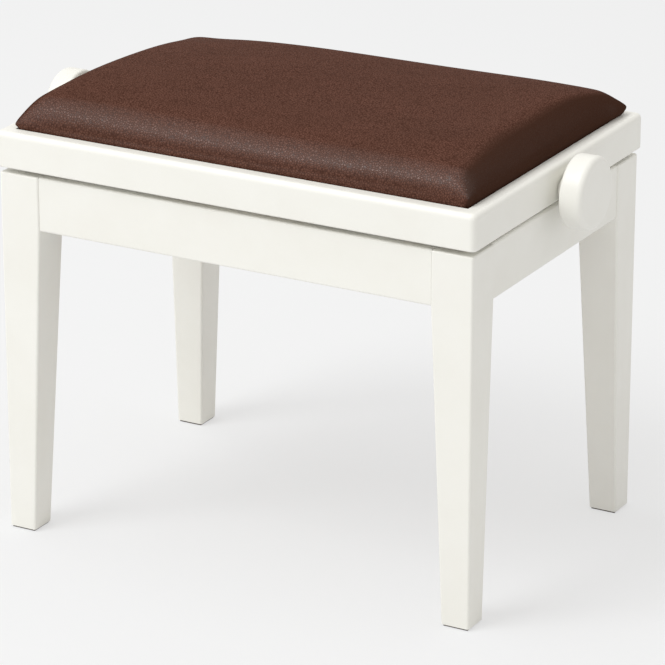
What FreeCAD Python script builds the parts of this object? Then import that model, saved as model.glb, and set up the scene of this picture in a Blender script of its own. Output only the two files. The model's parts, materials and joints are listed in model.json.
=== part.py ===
import FreeCAD, Part
import math
import os
import re
import Sketcher

# Height-adjustable piano bench, in millimetres, with its seat at the lowest setting.
# +X runs along the seat to the right, +Y to the back, +Z up.
# The origin is on the floor under the middle of the seat.

SIZES = [
    ("seat_length", 550, "seat frame, outside, along X"),
    ("seat_depth", 378, "seat frame, outside, along Y"),
    ("seat_bottom", 400, "underside of the seat frame above the floor"),
    ("seat_height", 38, "height of the seat frame"),
    ("rim_width", 16, "white rim round the cushion"),
    ("rim_round", 6, "rounding of the rim's upper outer edge"),
    ("corner_round", 6.5, "rounding of the seat frame's upright corners"),
    ("edge_round", 2, "small rounding of lower and inner edges"),
    ("ledge_width", 10, "ledge inside the rim that carries the board"),
    ("ledge_depth", 14, "from the rim's top down to the ledge"),
    ("board_thick", 10, "plywood seat board"),
    ("board_gap", 3.5, "from the board's edge to the rim"),
    ("cover_gap", 0.5, "from the cover to the rim"),
    ("cover_thick", 1.2, "leatherette cover"),
    ("cover_fit", 0.3, "from the cover to the foam and board inside it"),
    ("cover_lift", 1, "from the ledge to the cover's lower edge"),
    ("cover_side", 7, "upright side of the cover above the rim"),
    ("cover_shoulder", 18, "radius of the cushion's rounded shoulder"),
    ("cover_tilt", 11, "slope in degrees where the shoulder meets the crowned top"),
    ("cover_crown", 38, "top of the cushion above the rim"),
    ("cover_corner", 9, "corner radius of the cushion seen from above"),
    ("cover_draw", 1, "how far the long sides draw in between the corners"),
    ("swell_power", 4, "how full the crown stays towards the cushion's ends"),
    ("swell_root", 5, "how steeply the crown drops at the cushion's ends"),
    ("end_swell", 0.04, "share of the crown's rise left at the very ends"),
    ("leg_width", 46, "leg, square at the top"),
    ("foot_width", 31, "leg, square at the foot"),
    ("leg_inset", 3.5, "leg's outer faces inside the seat frame's"),
    ("leg_round", 2.5, "rounding of the leg's long edges"),
    ("pad_thick", 2, "felt pad under the foot"),
    ("pad_margin", 2, "from the foot's edge to the pad's"),
    ("apron_bottom", 336, "lower edge of the aprons, where the taper begins"),
    ("apron_height", 58, "height of the aprons"),
    ("apron_thick", 21.5, "thickness of the aprons"),
    ("apron_inset", 1.5, "apron faces inside the leg faces"),
    ("apron_round", 3, "rounding of the aprons' upper edges"),
    ("leg_top_round", 2, "rounding of the legs' top edges"),
    ("dowel_radius", 4, "beech dowels between aprons and legs"),
    ("dowel_sink", 20, "dowel length in each piece"),
    ("dowel_play", 1, "room past a dowel's end in its hole"),
    ("dowel_low", 15, "lower dowel above the apron's lower edge"),
    ("dowel_high", 47, "upper dowel above the apron's lower edge"),
    ("fit_gap", 0.05, "radial play of pins, dowels and screws in their holes"),
    ("plate_thick", 2, "steel corner plate"),
    ("plate_span", 58, "corner plate's reach along each apron"),
    ("plate_flange", 18, "corner plate's flange on each apron"),
    ("plate_height", 26, "corner plate's height"),
    ("plate_rise", 30, "corner plate's lower edge above the apron's"),
    ("plate_bend", 45, "corner plate's bends, in degrees"),
    ("plate_screw_low", 6.5, "corner plate's lower screws above its lower edge"),
    ("plate_screw_high", 19.5, "corner plate's upper screws above its lower edge"),
    ("bolt_radius", 4, "hanger bolt into the leg"),
    ("bolt_sink", 34, "hanger bolt's length inside the leg"),
    ("bolt_stand", 14, "hanger bolt's length past the plate"),
    ("washer_radius", 9, "washer on the hanger bolt"),
    ("washer_thick", 1.6, "washer thickness"),
    ("hex_radius", 7.5, "hexagon nut, across its corners by two"),
    ("hex_height", 6.5, "hexagon nut's height"),
    ("screw_radius", 2, "wood screw's shank"),
    ("screw_head", 3, "wood screw's head radius"),
    ("screw_head_height", 2, "wood screw's head height"),
    ("screw_sink", 14, "wood screw's depth in an apron"),
    ("screw_inset", 22.5, "board screws inside the seat frame's outer faces"),
    ("screw_middle", 66, "long rails' inner board screws from the middle, along X"),
    ("screw_end", 198, "long rails' outer board screws from the middle, along X"),
    ("screw_side", 95, "short rails' board screws from the middle, along Y"),
    ("board_sink", 7, "wood screw's depth in the seat board"),
    ("bore_depth", 6, "counterbore for the seat board's screws"),
    ("bore_gap", 0.2, "play round a screw's head in its counterbore"),
    ("track_width", 20, "channel track, outside"),
    ("track_height", 18, "channel track's flange height"),
    ("track_wall", 2, "channel track's sheet thickness"),
    ("track_length", 446, "channel track's length"),
    ("track_drop", 10, "lower track's underside below the lower pivots"),
    ("track_screw_inner", 60, "tracks' inner screws from the middle, along X"),
    ("track_screw_outer", 148, "tracks' outer screws from the middle, along X"),
    ("arm_length", 400, "scissor arm between its end pivots"),
    ("arm_width", 14, "scissor arm's width"),
    ("arm_thick", 4, "scissor arm's thickness"),
    ("arm_outer", 5, "from the apron's face to the outer arm"),
    ("arm_inner", 13, "from the apron's face to the inner arm"),
    ("pivot_reach", 197, "fixed pivots from the middle, along X"),
    ("pivot_low", 344, "lower pivots above the floor"),
    ("pivot_high", 411, "upper pivots and spindle above the floor"),
    ("pivot_radius", 4, "pivot pins"),
    ("pivot_head", 6.5, "pivot pin's head radius"),
    ("pivot_head_height", 2.5, "pivot pin's head height"),
    ("closing_slack", 0.39, "arm ends below the upper pivots at the lowest setting"),
    ("open_gap", 0.6, "radial play at the upper pivots, which closes the linkage"),
    ("slide_gap", 0.3, "play of the slide rod in the lower slots"),
    ("slot_gap", 0.8, "play of the crossbar in the upper slots"),
    ("slot_end", 1, "slots past the sliding rods at the lowest setting"),
    ("slide_travel", 28, "travel of the sliding arm ends"),
    ("rod_radius", 5, "slide rod and crossbars"),
    ("rod_end", 3.5, "from the apron's face to the rod's end"),
    ("roller_radius", 7.3, "nylon rollers in the tracks"),
    ("roller_width", 7, "nylon roller's width"),
    ("roller_inset", 4, "from the apron's face to a lower roller"),
    ("spacer_radius", 9, "spacer between the crossed arms"),
    ("spacer_play", 0.2, "side play of the arms at their middle pivot"),
    ("nut_length", 26, "brass nut block along the spindle"),
    ("nut_width", 24, "brass nut block across the spindle"),
    ("nut_height", 16, "brass nut block's height"),
    ("nut_sink", 6, "crossbar's depth in the nut block"),
    ("spindle_radius", 5, "threaded spindle"),
    ("thread_root", 4.2, "spindle radius in the reliefs beside its thread"),
    ("thread_start", 140, "inner end of the thread, along X"),
    ("thread_end", 225, "outer end of the thread, along X"),
    ("thread_relief", 3, "width of each relief"),
    ("bush_radius", 8, "spindle bush in the side rail"),
    ("bush_flange", 10.5, "spindle bush's flange radius"),
    ("bush_flange_thick", 2, "spindle bush's flange thickness"),
    ("collar_radius", 9, "thrust collar"),
    ("collar_length", 8, "thrust collar's length"),
    ("collar_gap", 0.5, "end play of the spindle"),
    ("collar_screw", 1.5, "collar set screw's radius"),
    ("knob_radius", 38, "knob disc"),
    ("knob_thick", 25, "knob disc's thickness"),
    ("knob_stand", 14, "from the seat frame's side to the knob disc"),
    ("knob_bore", 17, "spindle's depth in the knob disc"),
    ("knob_face_round", 6, "rounding of the knob's outer edge"),
    ("knob_back_round", 3, "rounding of the knob's inner edge"),
    ("hub_radius", 13, "knob's hub"),
    ("hub_gap", 0.5, "from the hub to the bush's flange"),
    ("cross_pin_radius", 1.5, "pin through hub and spindle"),
]

doc = FreeCAD.newDocument("piano_bench")
sheet = doc.addObject("Spreadsheet::Sheet", "sizes")
for row, (alias, value, meaning) in enumerate(SIZES, start=1):
    sheet.set(f"A{row}", alias)
    sheet.set(f"B{row}", str(value))
    sheet.setAlias(f"B{row}", alias)
    sheet.set(f"C{row}", meaning)
doc.recompute()
ALIASES = {alias for alias, value, meaning in SIZES}
CLOSE = 1e-4
LEAST_CUT = 1.0
SECTIONS_EACH_WAY = 7

# Places that several pieces share, as formulas of the sizes above.
SEAT_TOP = "(seat_bottom + seat_height)"
LEDGE = f"({SEAT_TOP} - ledge_depth)"
APRON_TOP = "(apron_bottom + apron_height)"
LEG_X = "(seat_length / 2 - leg_inset)"
LEG_Y = "(seat_depth / 2 - leg_inset)"
APRON_X = f"({LEG_X} - apron_inset)"
APRON_Y = f"({LEG_Y} - apron_inset)"
INSIDE_X = f"({APRON_X} - apron_thick)"
INSIDE_Y = f"({APRON_Y} - apron_thick)"
SLOT_X = "(pivot_reach - slide_travel)"
ARM_RISE = "(pivot_high - pivot_low - closing_slack)"
ARM_RUN = f"sqrt(arm_length ^ 2 - {ARM_RISE} ^ 2)"
ARM_ANGLE = f"asin({ARM_RISE} / arm_length)"
SLIDE_X = f"({ARM_RUN} - pivot_reach)"
SLOT_END = f"({SLIDE_X} + slot_end)"
ARM_END_HIGH = "(pivot_high - closing_slack)"

AXIS_TURN = {
    "+X": FreeCAD.Rotation(FreeCAD.Vector(0, 1, 0), 90),
    "-X": FreeCAD.Rotation(FreeCAD.Vector(0, 1, 0), -90),
    "+Y": FreeCAD.Rotation(FreeCAD.Vector(1, 0, 0), -90),
    "-Y": FreeCAD.Rotation(FreeCAD.Vector(1, 0, 0), 90),
    "+Z": FreeCAD.Rotation(),
    "-Z": FreeCAD.Rotation(FreeCAD.Vector(1, 0, 0), 180),
    "corner": FreeCAD.Rotation(FreeCAD.Vector(0, 0, 1), FreeCAD.Vector(1, 1, 0)),
}
parts = {}


def formula(text):
    """The same formula with each size read from the sheet."""
    def from_sheet(word):
        return f"sizes.{word.group()}" if word.group() in ALIASES else word.group()

    return re.sub(r"[a-z_]+", from_sheet, str(text))


def size(text):
    """The formula's present value."""
    value = sheet.evalExpression(formula(text))
    return float(getattr(value, "Value", value))


def bind(thing, **formulas):
    for name, text in formulas.items():
        thing.setExpression(name, formula(text))


def place(thing, x="0", y="0", z="0"):
    for axis, text in zip("xyz", (x, y, z)):
        thing.setExpression(f"Placement.Base.{axis}", formula(text))


def keep(label, thing):
    """Names a finished piece, which then gets a file of its own."""
    thing.Label = label
    parts[label] = thing
    return thing


def rod(name, radius, length, start, axis):
    """A round bar from a start point along one of the named directions."""
    bar = doc.addObject("Part::Cylinder", name)
    bind(bar, Radius=radius, Height=length)
    bar.Placement.Rotation = AXIS_TURN[axis]
    place(bar, *start)
    return bar


def block(name, length, width, height, corner):
    """A box from its lowest corner."""
    box = doc.addObject("Part::Box", name)
    bind(box, Length=length, Width=width, Height=height)
    place(box, *corner)
    return box


def fuse(name, shapes):
    joined = doc.addObject("Part::MultiFuse", name)
    joined.Shapes = shapes
    return joined


def cut(name, base, tools):
    """The base with every tool's shape taken away."""
    result = doc.addObject("Part::Cut", name)
    result.Base = base
    result.Tool = tools[0] if len(tools) == 1 else fuse(f"{name}_tools", tools)
    return result


def group(name, solids):
    """Separate identical solids in one node."""
    bundle = doc.addObject("Part::Compound", name)
    bundle.Links = solids
    return bundle


def mirrored(thing, name, normal):
    copy = doc.addObject("Part::Mirroring", name)
    copy.Source = thing
    copy.Base = FreeCAD.Vector(0, 0, 0)
    copy.Normal = FreeCAD.Vector(*normal)
    return copy


def across(thing, name):
    """The same piece at the other end of the bench."""
    return mirrored(thing, name, (1, 0, 0))


def behind(thing, name):
    """The same piece at the back of the bench."""
    return mirrored(thing, name, (0, 1, 0))


def both_ends(thing):
    return [thing, across(thing, f"{thing.Name}_right")]


def front_and_back(thing):
    return [thing, behind(thing, f"{thing.Name}_rear")]


def four_corners(thing):
    pair = both_ends(thing)
    return pair + [behind(piece, f"{piece.Name}_rear") for piece in pair]


def new_body(name):
    return doc.addObject("PartDesign::Body", name)


def new_sketch(body, name, plane, lift="0"):
    """A sketch on one of the body's own origin planes, moved along that plane's normal."""
    sketch = body.newObject("Sketcher::SketchObject", name)
    support = [feature for feature in body.Origin.OriginFeatures if feature.Role == plane][0]
    sketch.AttachmentSupport = [(support, "")]
    sketch.MapMode = "FlatFace"
    sketch.setExpression("AttachmentOffset.Base.z", formula(lift))
    return sketch


def fix_point(sketch, line, point, x, y):
    for kind, text in (("DistanceX", x), ("DistanceY", y)):
        number = sketch.addConstraint(Sketcher.Constraint(kind, -1, 1, line, point, size(text)))
        sketch.setExpression(f"Constraints[{number}]", formula(text))


def draw_polygon(sketch, corners):
    """A closed outline of straight lines whose corners are formulas."""
    points = [FreeCAD.Vector(size(x), size(y), 0) for x, y in corners]
    count = len(points)
    for i, point in enumerate(points):
        sketch.addGeometry(Part.LineSegment(point, points[(i + 1) % count]), False)
    for i in range(count):
        sketch.addConstraint(Sketcher.Constraint("Coincident", i, 2, (i + 1) % count, 1))
    for i, (x, y) in enumerate(corners):
        fix_point(sketch, i, 1, x, y)


def draw_rectangle(sketch, x0, y0, x1, y1):
    draw_polygon(sketch, [(x0, y0), (x1, y0), (x1, y1), (x0, y1)])


def pad(body, sketch, length, midplane=False, flipped=False):
    feature = body.newObject("PartDesign::Pad", f"{sketch.Name}_pad")
    feature.Profile = sketch
    bind(feature, Length=length)
    feature.Midplane = midplane
    feature.Reversed = flipped
    sketch.Visibility = False
    return feature


def pocket(body, sketch, depth, flipped=False):
    """A pocket that has to take something away."""
    doc.recompute()
    before = body.Shape.Volume
    feature = body.newObject("PartDesign::Pocket", f"{sketch.Name}_pocket")
    feature.Profile = sketch
    bind(feature, Length=depth)
    feature.Reversed = flipped
    doc.recompute()
    if body.Shape.Volume > before - LEAST_CUT:
        raise ValueError(f"{sketch.Name} cuts nothing")
    return feature


def turned(name, outline):
    """A body turned about the X axis from an outline of X and radius."""
    body = new_body(name)
    sketch = new_sketch(body, f"{name}_outline", "XY_Plane")
    draw_polygon(sketch, outline)
    feature = body.newObject("PartDesign::Revolution", f"{name}_turn")
    feature.Profile = sketch
    feature.ReferenceAxis = (sketch, ["H_Axis"])
    feature.Angle = 360
    return body


def round_edges(body, base, radius, chosen):
    """Rounds the edges of the last feature that the test picks out by their box and direction."""
    doc.recompute()
    names = []
    for number, edge in enumerate(base.Shape.Edges, start=1):
        if chosen(edge):
            names.append(f"Edge{number}")
    if not names:
        raise ValueError(f"{base.Name} has no edge to round")
    feature = body.newObject("PartDesign::Fillet", f"{base.Name}_round")
    feature.Base = (base, names)
    bind(feature, Radius=radius)
    doc.recompute()
    return feature


def along(edge, axis):
    """True for a straight edge along X, Y or Z."""
    ends = [vertex.Point for vertex in edge.Vertexes]
    if len(ends) != 2:
        return False
    step = ends[1] - ends[0]
    others = [abs(step[i]) for i in range(3) if i != "XYZ".index(axis)]
    return max(others) < CLOSE


def near(value, text):
    return abs(value - size(text)) < CLOSE


def level_edges(axis, height):
    """Picks the straight edges along an axis that lie at a height."""
    return lambda edge: along(edge, axis) and near(edge.BoundBox.ZMin, height)


# Legs: square at the aprons, tapered below them on the two inner faces.
def leg_front_left():
    body = new_body("leg_blank")
    foot = new_sketch(body, "leg_foot", "XY_Plane", "pad_thick")
    draw_rectangle(foot, f"-{LEG_X}", f"-{LEG_Y}", f"-{LEG_X} + foot_width", f"-{LEG_Y} + foot_width")
    knee = new_sketch(body, "leg_knee", "XY_Plane", "apron_bottom")
    draw_rectangle(knee, f"-{LEG_X}", f"-{LEG_Y}", f"-{LEG_X} + leg_width", f"-{LEG_Y} + leg_width")
    taper = body.newObject("PartDesign::AdditiveLoft", "leg_taper")
    taper.Profile = foot
    taper.Sections = [knee]
    taper.Ruled = True
    top = new_sketch(body, "leg_top", "XY_Plane", "apron_bottom")
    draw_rectangle(top, f"-{LEG_X}", f"-{LEG_Y}", f"-{LEG_X} + leg_width", f"-{LEG_Y} + leg_width")
    upright = pad(body, top, "apron_height")
    half_height = size("apron_height") / 2
    long_edges = round_edges(body, upright, "leg_round", lambda e: e.BoundBox.ZLength > half_height)
    round_edges(body, long_edges, "leg_top_round", lambda e: near(e.BoundBox.ZMin, APRON_TOP))
    holes = dowel_holes("leg_dowel_hole")
    holes.append(hanger_bolt("leg_bolt_hole", "bolt_radius + fit_gap"))
    return cut("leg_front_left", body, holes)


# Dowels: two in each joint between an apron's end and a leg.
def dowels(name, radius, sink):
    front_y = f"-{APRON_Y} + apron_thick / 2"
    side_x = f"-{APRON_X} + apron_thick / 2"
    joint_x = f"-{LEG_X} + leg_width - ({sink})"
    joint_y = f"-{LEG_Y} + leg_width - ({sink})"
    span = f"2 * ({sink})"
    solids = []
    for place_name, rise in (("low", "dowel_low"), ("high", "dowel_high")):
        height = f"apron_bottom + {rise}"
        solids.append(rod(f"{name}_front_{place_name}", radius, span, (joint_x, front_y, height), "+X"))
        solids.append(rod(f"{name}_side_{place_name}", radius, span, (side_x, joint_y, height), "+Y"))
    return solids


def dowel_holes(name):
    return dowels(name, "dowel_radius + fit_gap", "dowel_sink + dowel_play")


# Hanger bolt: from inside the leg, square through the middle of the corner plate.
CORNER_MID_X = f"(-{INSIDE_X} + plate_span / 2)"
CORNER_MID_Y = f"(-{INSIDE_Y} + plate_span / 2)"
BOLT_Z = "(apron_bottom + plate_rise + plate_height / 2)"
LEG_CORNER_GAP = f"(({INSIDE_X} - plate_span / 2) - ({LEG_X} - leg_width)) * -sqrt(2)"


def on_bolt(distance):
    """A point on the hanger bolt's axis, measured from the corner plate's outer face."""
    return (f"{CORNER_MID_X} + ({distance}) / sqrt(2)", f"{CORNER_MID_Y} + ({distance}) / sqrt(2)", BOLT_Z)


def hanger_bolt(name, radius):
    start = f"-(bolt_sink + {LEG_CORNER_GAP})"
    length = f"bolt_sink + {LEG_CORNER_GAP} + plate_thick + bolt_stand"
    return rod(name, radius, length, on_bolt(start), "corner")


def hanger_washer():
    start = on_bolt("plate_thick")
    disc = rod("hanger_washer_disc", "washer_radius", "washer_thick", start, "corner")
    hole = rod("hanger_washer_hole", "bolt_radius + fit_gap", "washer_thick", start, "corner")
    return cut("hanger_washer", disc, [hole])


def hanger_nut():
    start = on_bolt("plate_thick + washer_thick")
    hexagon = doc.addObject("Part::Prism", "hanger_nut_hexagon")
    hexagon.Polygon = 6
    bind(hexagon, Circumradius="hex_radius", Height="hex_height")
    hexagon.Placement.Rotation = AXIS_TURN["corner"]
    place(hexagon, *start)
    hole = rod("hanger_nut_hole", "bolt_radius + fit_gap", "hex_height", start, "corner")
    return cut("hanger_nut", hexagon, [hole])


# Corner plate: a bent strip across the inside of each corner, with a flange on each apron.
def plate_screw_places():
    """Where the plate's screws enter, for the front apron and for the side apron."""
    step = "(plate_span + plate_flange / 2)"
    for number, rise in enumerate(("plate_screw_low", "plate_screw_high"), start=1):
        height = f"apron_bottom + plate_rise + {rise}"
        yield f"front_{number}", (f"-{INSIDE_X} + {step}", f"-{INSIDE_Y} + plate_thick", height), "-Y"
        yield f"side_{number}", (f"-{INSIDE_X} + plate_thick", f"-{INSIDE_Y} + {step}", height), "-X"


def corner_plate():
    body = new_body("corner_plate_blank")
    sketch = new_sketch(body, "corner_plate_strip", "XY_Plane", "apron_bottom + plate_rise")
    bend = "plate_thick * tan(plate_bend / 2)"
    reach = "(plate_span + plate_flange)"
    draw_polygon(sketch, [
        (f"-{INSIDE_X} + {reach}", f"-{INSIDE_Y}"),
        (f"-{INSIDE_X} + {reach}", f"-{INSIDE_Y} + plate_thick"),
        (f"-{INSIDE_X} + plate_span + {bend}", f"-{INSIDE_Y} + plate_thick"),
        (f"-{INSIDE_X} + plate_thick", f"-{INSIDE_Y} + plate_span + {bend}"),
        (f"-{INSIDE_X} + plate_thick", f"-{INSIDE_Y} + {reach}"),
        (f"-{INSIDE_X}", f"-{INSIDE_Y} + {reach}"),
        (f"-{INSIDE_X}", f"-{INSIDE_Y} + plate_span"),
        (f"-{INSIDE_X} + plate_span", f"-{INSIDE_Y}"),
    ])
    pad(body, sketch, "plate_height")
    holes = [hanger_bolt("plate_bolt_hole", "bolt_radius + fit_gap")]
    for name, start, axis in plate_screw_places():
        holes.append(screw_hole(f"plate_hole_{name}", "plate_thick", start, axis))
    return cut("corner_plate", body, holes)


def wood_screw(name, start, axis, length):
    """A round-headed screw whose head stands on the start point."""
    shank = rod(f"{name}_shank", "screw_radius", length, start, axis)
    head_axis = ("-" if axis[0] == "+" else "+") + axis[1]
    head = rod(f"{name}_head", "screw_head", "screw_head_height", start, head_axis)
    return fuse(name, [shank, head])


def screw_hole(name, depth, start, axis):
    return rod(name, "screw_radius + fit_gap", depth, start, axis)


# Aprons: boards between the legs, set back from their outer faces.
def apron_front():
    body = new_body("apron_front_blank")
    sketch = new_sketch(body, "apron_front_face", "XZ_Plane", f"{INSIDE_Y}")
    reach = f"({LEG_X} - leg_width)"
    draw_rectangle(sketch, f"-{reach}", "apron_bottom", reach, APRON_TOP)
    board = pad(body, sketch, "apron_thick")
    upper = round_edges(body, board, "apron_round", level_edges("X", APRON_TOP))
    round_edges(body, upper, "edge_round", level_edges("X", "apron_bottom"))
    tools = [hole for hole in dowel_holes("apron_front_hole") if "front" in hole.Name]
    for name, start, axis in plate_screw_places():
        if axis == "-Y":
            tools.append(screw_hole(f"apron_hole_{name}", "plate_thick + screw_sink", start, axis))
    for name, start in lower_screw_places():
        tools.append(screw_hole(f"apron_hole_{name}", "track_wall + screw_sink", start, "-Y"))
    every_tool = []
    for tool in tools:
        every_tool += both_ends(tool)
    return cut("apron_front", body, every_tool)


def apron_left():
    body = new_body("apron_left_blank")
    sketch = new_sketch(body, "apron_left_face", "YZ_Plane", f"-{APRON_X}")
    reach = f"({LEG_Y} - leg_width)"
    draw_rectangle(sketch, f"-{reach}", "apron_bottom", reach, APRON_TOP)
    board = pad(body, sketch, "apron_thick")
    upper = round_edges(body, board, "apron_round", level_edges("Y", APRON_TOP))
    round_edges(body, upper, "edge_round", level_edges("Y", "apron_bottom"))
    tools = [hole for hole in dowel_holes("apron_left_hole") if "side" in hole.Name]
    for name, start, axis in plate_screw_places():
        if axis == "-X":
            tools.append(screw_hole(f"apron_hole_{name}", "plate_thick + screw_sink", start, axis))
    every_tool = []
    for tool in tools:
        every_tool += front_and_back(tool)
    return cut("apron_left", body, every_tool)


# Foot pad: a thin square of felt under each leg.
def foot_pad():
    side = "foot_width - 2 * pad_margin"
    corner = (f"-{LEG_X} + pad_margin", f"-{LEG_Y} + pad_margin", "0")
    return block("foot_pad", side, side, "pad_thick", corner)


# Tracks: channels on the front and rear aprons, and under the seat board, that the arms run in.
def lower_screw_places():
    for number, x in enumerate(("-track_screw_inner", "-track_screw_outer"), start=1):
        yield f"lower_{number}", (x, f"-{INSIDE_Y} + track_wall", "pivot_low")


def upper_screw_places():
    for number, x in enumerate(("-track_screw_inner", "-track_screw_outer"), start=1):
        yield f"upper_{number}", (x, f"-{INSIDE_Y} + track_width / 2", f"{LEDGE} - track_wall")


def track_body(name, back, flange_end):
    """A channel along X: its web at the height back, its flanges reaching to flange_end."""
    body = new_body(name)
    sketch = new_sketch(body, f"{name}_section", "YZ_Plane")
    outer = f"-{INSIDE_Y}"
    inner = f"(-{INSIDE_Y} + track_width)"
    web = f"({back} + track_wall * {'1' if size(flange_end) > size(back) else '-1'})"
    draw_polygon(sketch, [
        (outer, back),
        (inner, back),
        (inner, flange_end),
        (f"{inner} - track_wall", flange_end),
        (f"{inner} - track_wall", web),
        (f"{outer} + track_wall", web),
        (f"{outer} + track_wall", flange_end),
        (outer, flange_end),
    ])
    pad(body, sketch, "track_length", midplane=True)
    return body


def slot(name, height, gap, outer_x):
    """A slot through the track's inner flange for the sliding rod."""
    radius = f"(rod_radius + {gap})"
    start_y = f"-{INSIDE_Y} + track_width / 2"
    middle = block(f"{name}_middle", f"{outer_x} - {SLOT_X}", "track_width", f"2 * {radius}",
                   (SLOT_X, start_y, f"{height} - {radius}"))
    near_end = rod(f"{name}_near", radius, "track_width", (SLOT_X, start_y, height), "+Y")
    far_end = rod(f"{name}_far", radius, "track_width", (outer_x, start_y, height), "+Y")
    return fuse(name, [middle, near_end, far_end])


def pivot_hole(name, height):
    return rod(name, "pivot_radius + fit_gap", "track_width", ("-pivot_reach", f"-{INSIDE_Y}", height), "+Y")


def lower_track_front():
    body = track_body("lower_track_blank", "pivot_low - track_drop", "pivot_low - track_drop + track_height")
    tools = [pivot_hole("lower_track_pivot", "pivot_low")]
    tools.append(slot("lower_track_slot", "pivot_low", "slide_gap", SLOT_END))
    for name, start in lower_screw_places():
        tools += both_ends(screw_hole(f"track_hole_{name}", "track_wall", start, "-Y"))
    return cut("lower_track_front", body, tools)


def upper_track_front():
    body = track_body("upper_track_blank", LEDGE, f"{LEDGE} - track_height")
    tools = [pivot_hole("upper_track_pivot", "pivot_high")]
    tools.append(slot("upper_track_slot", "pivot_high", "slot_gap", SLOT_END))
    for name, start in upper_screw_places():
        tools += both_ends(screw_hole(f"track_hole_{name}", "track_wall", start, "+Z"))
    return cut("upper_track_front", body, tools)


def pivot_pin(name, height):
    """A headed pin through both flanges of a track."""
    start_y = f"-{INSIDE_Y} + track_width"
    shank = rod(f"{name}_shank", "pivot_radius", "track_width", ("-pivot_reach", start_y, height), "-Y")
    head = rod(f"{name}_head", "pivot_head", "pivot_head_height", ("-pivot_reach", start_y, height), "+Y")
    return fuse(name, [shank, head])


# Scissor arms: flat bars with round ends, crossed and pinned at the middle.
def arm(name, inset, start_z, turn, first_hole, last_hole):
    """An arm drawn along X from its left pivot, then tilted."""
    bar = block(f"{name}_bar", "arm_length", "arm_thick", "arm_width", ("0", "0", "-arm_width / 2"))
    ends = [rod(f"{name}_end_{i}", "arm_width / 2", "arm_thick", (x, "0", "0"), "+Y")
            for i, x in enumerate(("0", "arm_length"))]
    places = (("0", first_hole), ("arm_length / 2", "pivot_radius + fit_gap"), ("arm_length", last_hole))
    holes = [rod(f"{name}_hole_{i}", radius, "arm_thick", (x, "0", "0"), "+Y")
             for i, (x, radius) in enumerate(places)]
    tilted = cut(name, fuse(f"{name}_blank", [bar, *ends]), holes)
    tilted.Placement.Rotation = FreeCAD.Rotation(FreeCAD.Vector(0, -1, 0), 1)
    tilted.setExpression("Placement.Rotation.Angle", formula(turn))
    place(tilted, "-pivot_reach", f"-{INSIDE_Y} + {inset}", start_z)
    return tilted


def drive_arm_front():
    return arm("drive_arm_front", "arm_outer", "pivot_low", ARM_ANGLE,
               "pivot_radius + fit_gap", "rod_radius + fit_gap")


def follower_arm_front():
    return arm("follower_arm_front", "arm_inner", ARM_END_HIGH, f"-{ARM_ANGLE}",
               "pivot_radius + open_gap", "rod_radius + fit_gap")


CENTRE_X = f"({ARM_RUN} / 2 - pivot_reach)"
CENTRE_Z = f"(pivot_low + {ARM_RISE} / 2)"


def centre_pin():
    """A pin with a head on each side of the crossed arms."""
    length = "(arm_inner + arm_thick + spacer_play - arm_outer)"
    outer = (CENTRE_X, f"-{INSIDE_Y} + arm_outer", CENTRE_Z)
    inner = (CENTRE_X, f"-{INSIDE_Y} + arm_outer + {length}", CENTRE_Z)
    shank = rod("centre_pin_shank", "pivot_radius", length, outer, "+Y")
    outer_head = rod("centre_pin_outer", "pivot_head", "pivot_head_height", outer, "-Y")
    inner_head = rod("centre_pin_inner", "pivot_head", "pivot_head_height / 2", inner, "+Y")
    return fuse("centre_pin", [shank, outer_head, inner_head])


def centre_spacer():
    start = (CENTRE_X, f"-{INSIDE_Y} + arm_outer + arm_thick", CENTRE_Z)
    width = "arm_inner - arm_outer - arm_thick - spacer_play"
    ring = rod("centre_spacer_ring", "spacer_radius", width, start, "+Y")
    hole = rod("centre_spacer_hole", "pivot_radius + fit_gap", width, start, "+Y")
    return cut("centre_spacer", ring, [hole])


# Slide rod across the lower sliding ends, and rollers in the tracks.
def slide_rod():
    reach = f"({INSIDE_Y} - rod_end)"
    return rod("slide_rod", "rod_radius", f"2 * {reach}", (SLIDE_X, f"-{reach}", "pivot_low"), "+Y")


def roller(name, inset, height):
    start = (SLIDE_X, f"-{INSIDE_Y} + {inset}", height)
    tyre = rod(f"{name}_tyre", "roller_radius", "roller_width", start, "+Y")
    hole = rod(f"{name}_hole", "rod_radius + fit_gap", "roller_width", start, "+Y")
    return cut(name, tyre, [hole])


# Nut block on the spindle, and the crossbars that carry it between the driven arm ends.
def nut_block():
    body = block("nut_block_blank", "nut_length", "nut_width", "nut_height",
                 (f"{SLIDE_X} - nut_length / 2", "-nut_width / 2", f"{ARM_END_HIGH} - nut_height / 2"))
    bore = rod("nut_bore", "spindle_radius + open_gap", "nut_length",
               (f"{SLIDE_X} - nut_length / 2", "0", ARM_END_HIGH), "+X")
    socket = rod("nut_socket", "rod_radius + fit_gap", "nut_sink",
                 (SLIDE_X, "-nut_width / 2", ARM_END_HIGH), "+Y")
    return cut("nut_block", body, [bore, *front_and_back(socket)])


def crossbar_front():
    reach = f"({INSIDE_Y} - rod_end)"
    return rod("crossbar_front", "rod_radius", f"{reach} - nut_width / 2 + nut_sink",
               (SLIDE_X, f"-{reach}", ARM_END_HIGH), "+Y")


# Spindle, turned on X, with the thread between two reliefs at its right-hand end.
KNOB_BACK = "(seat_length / 2 + knob_stand)"
SPINDLE_END = f"({KNOB_BACK} + knob_bore)"


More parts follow.
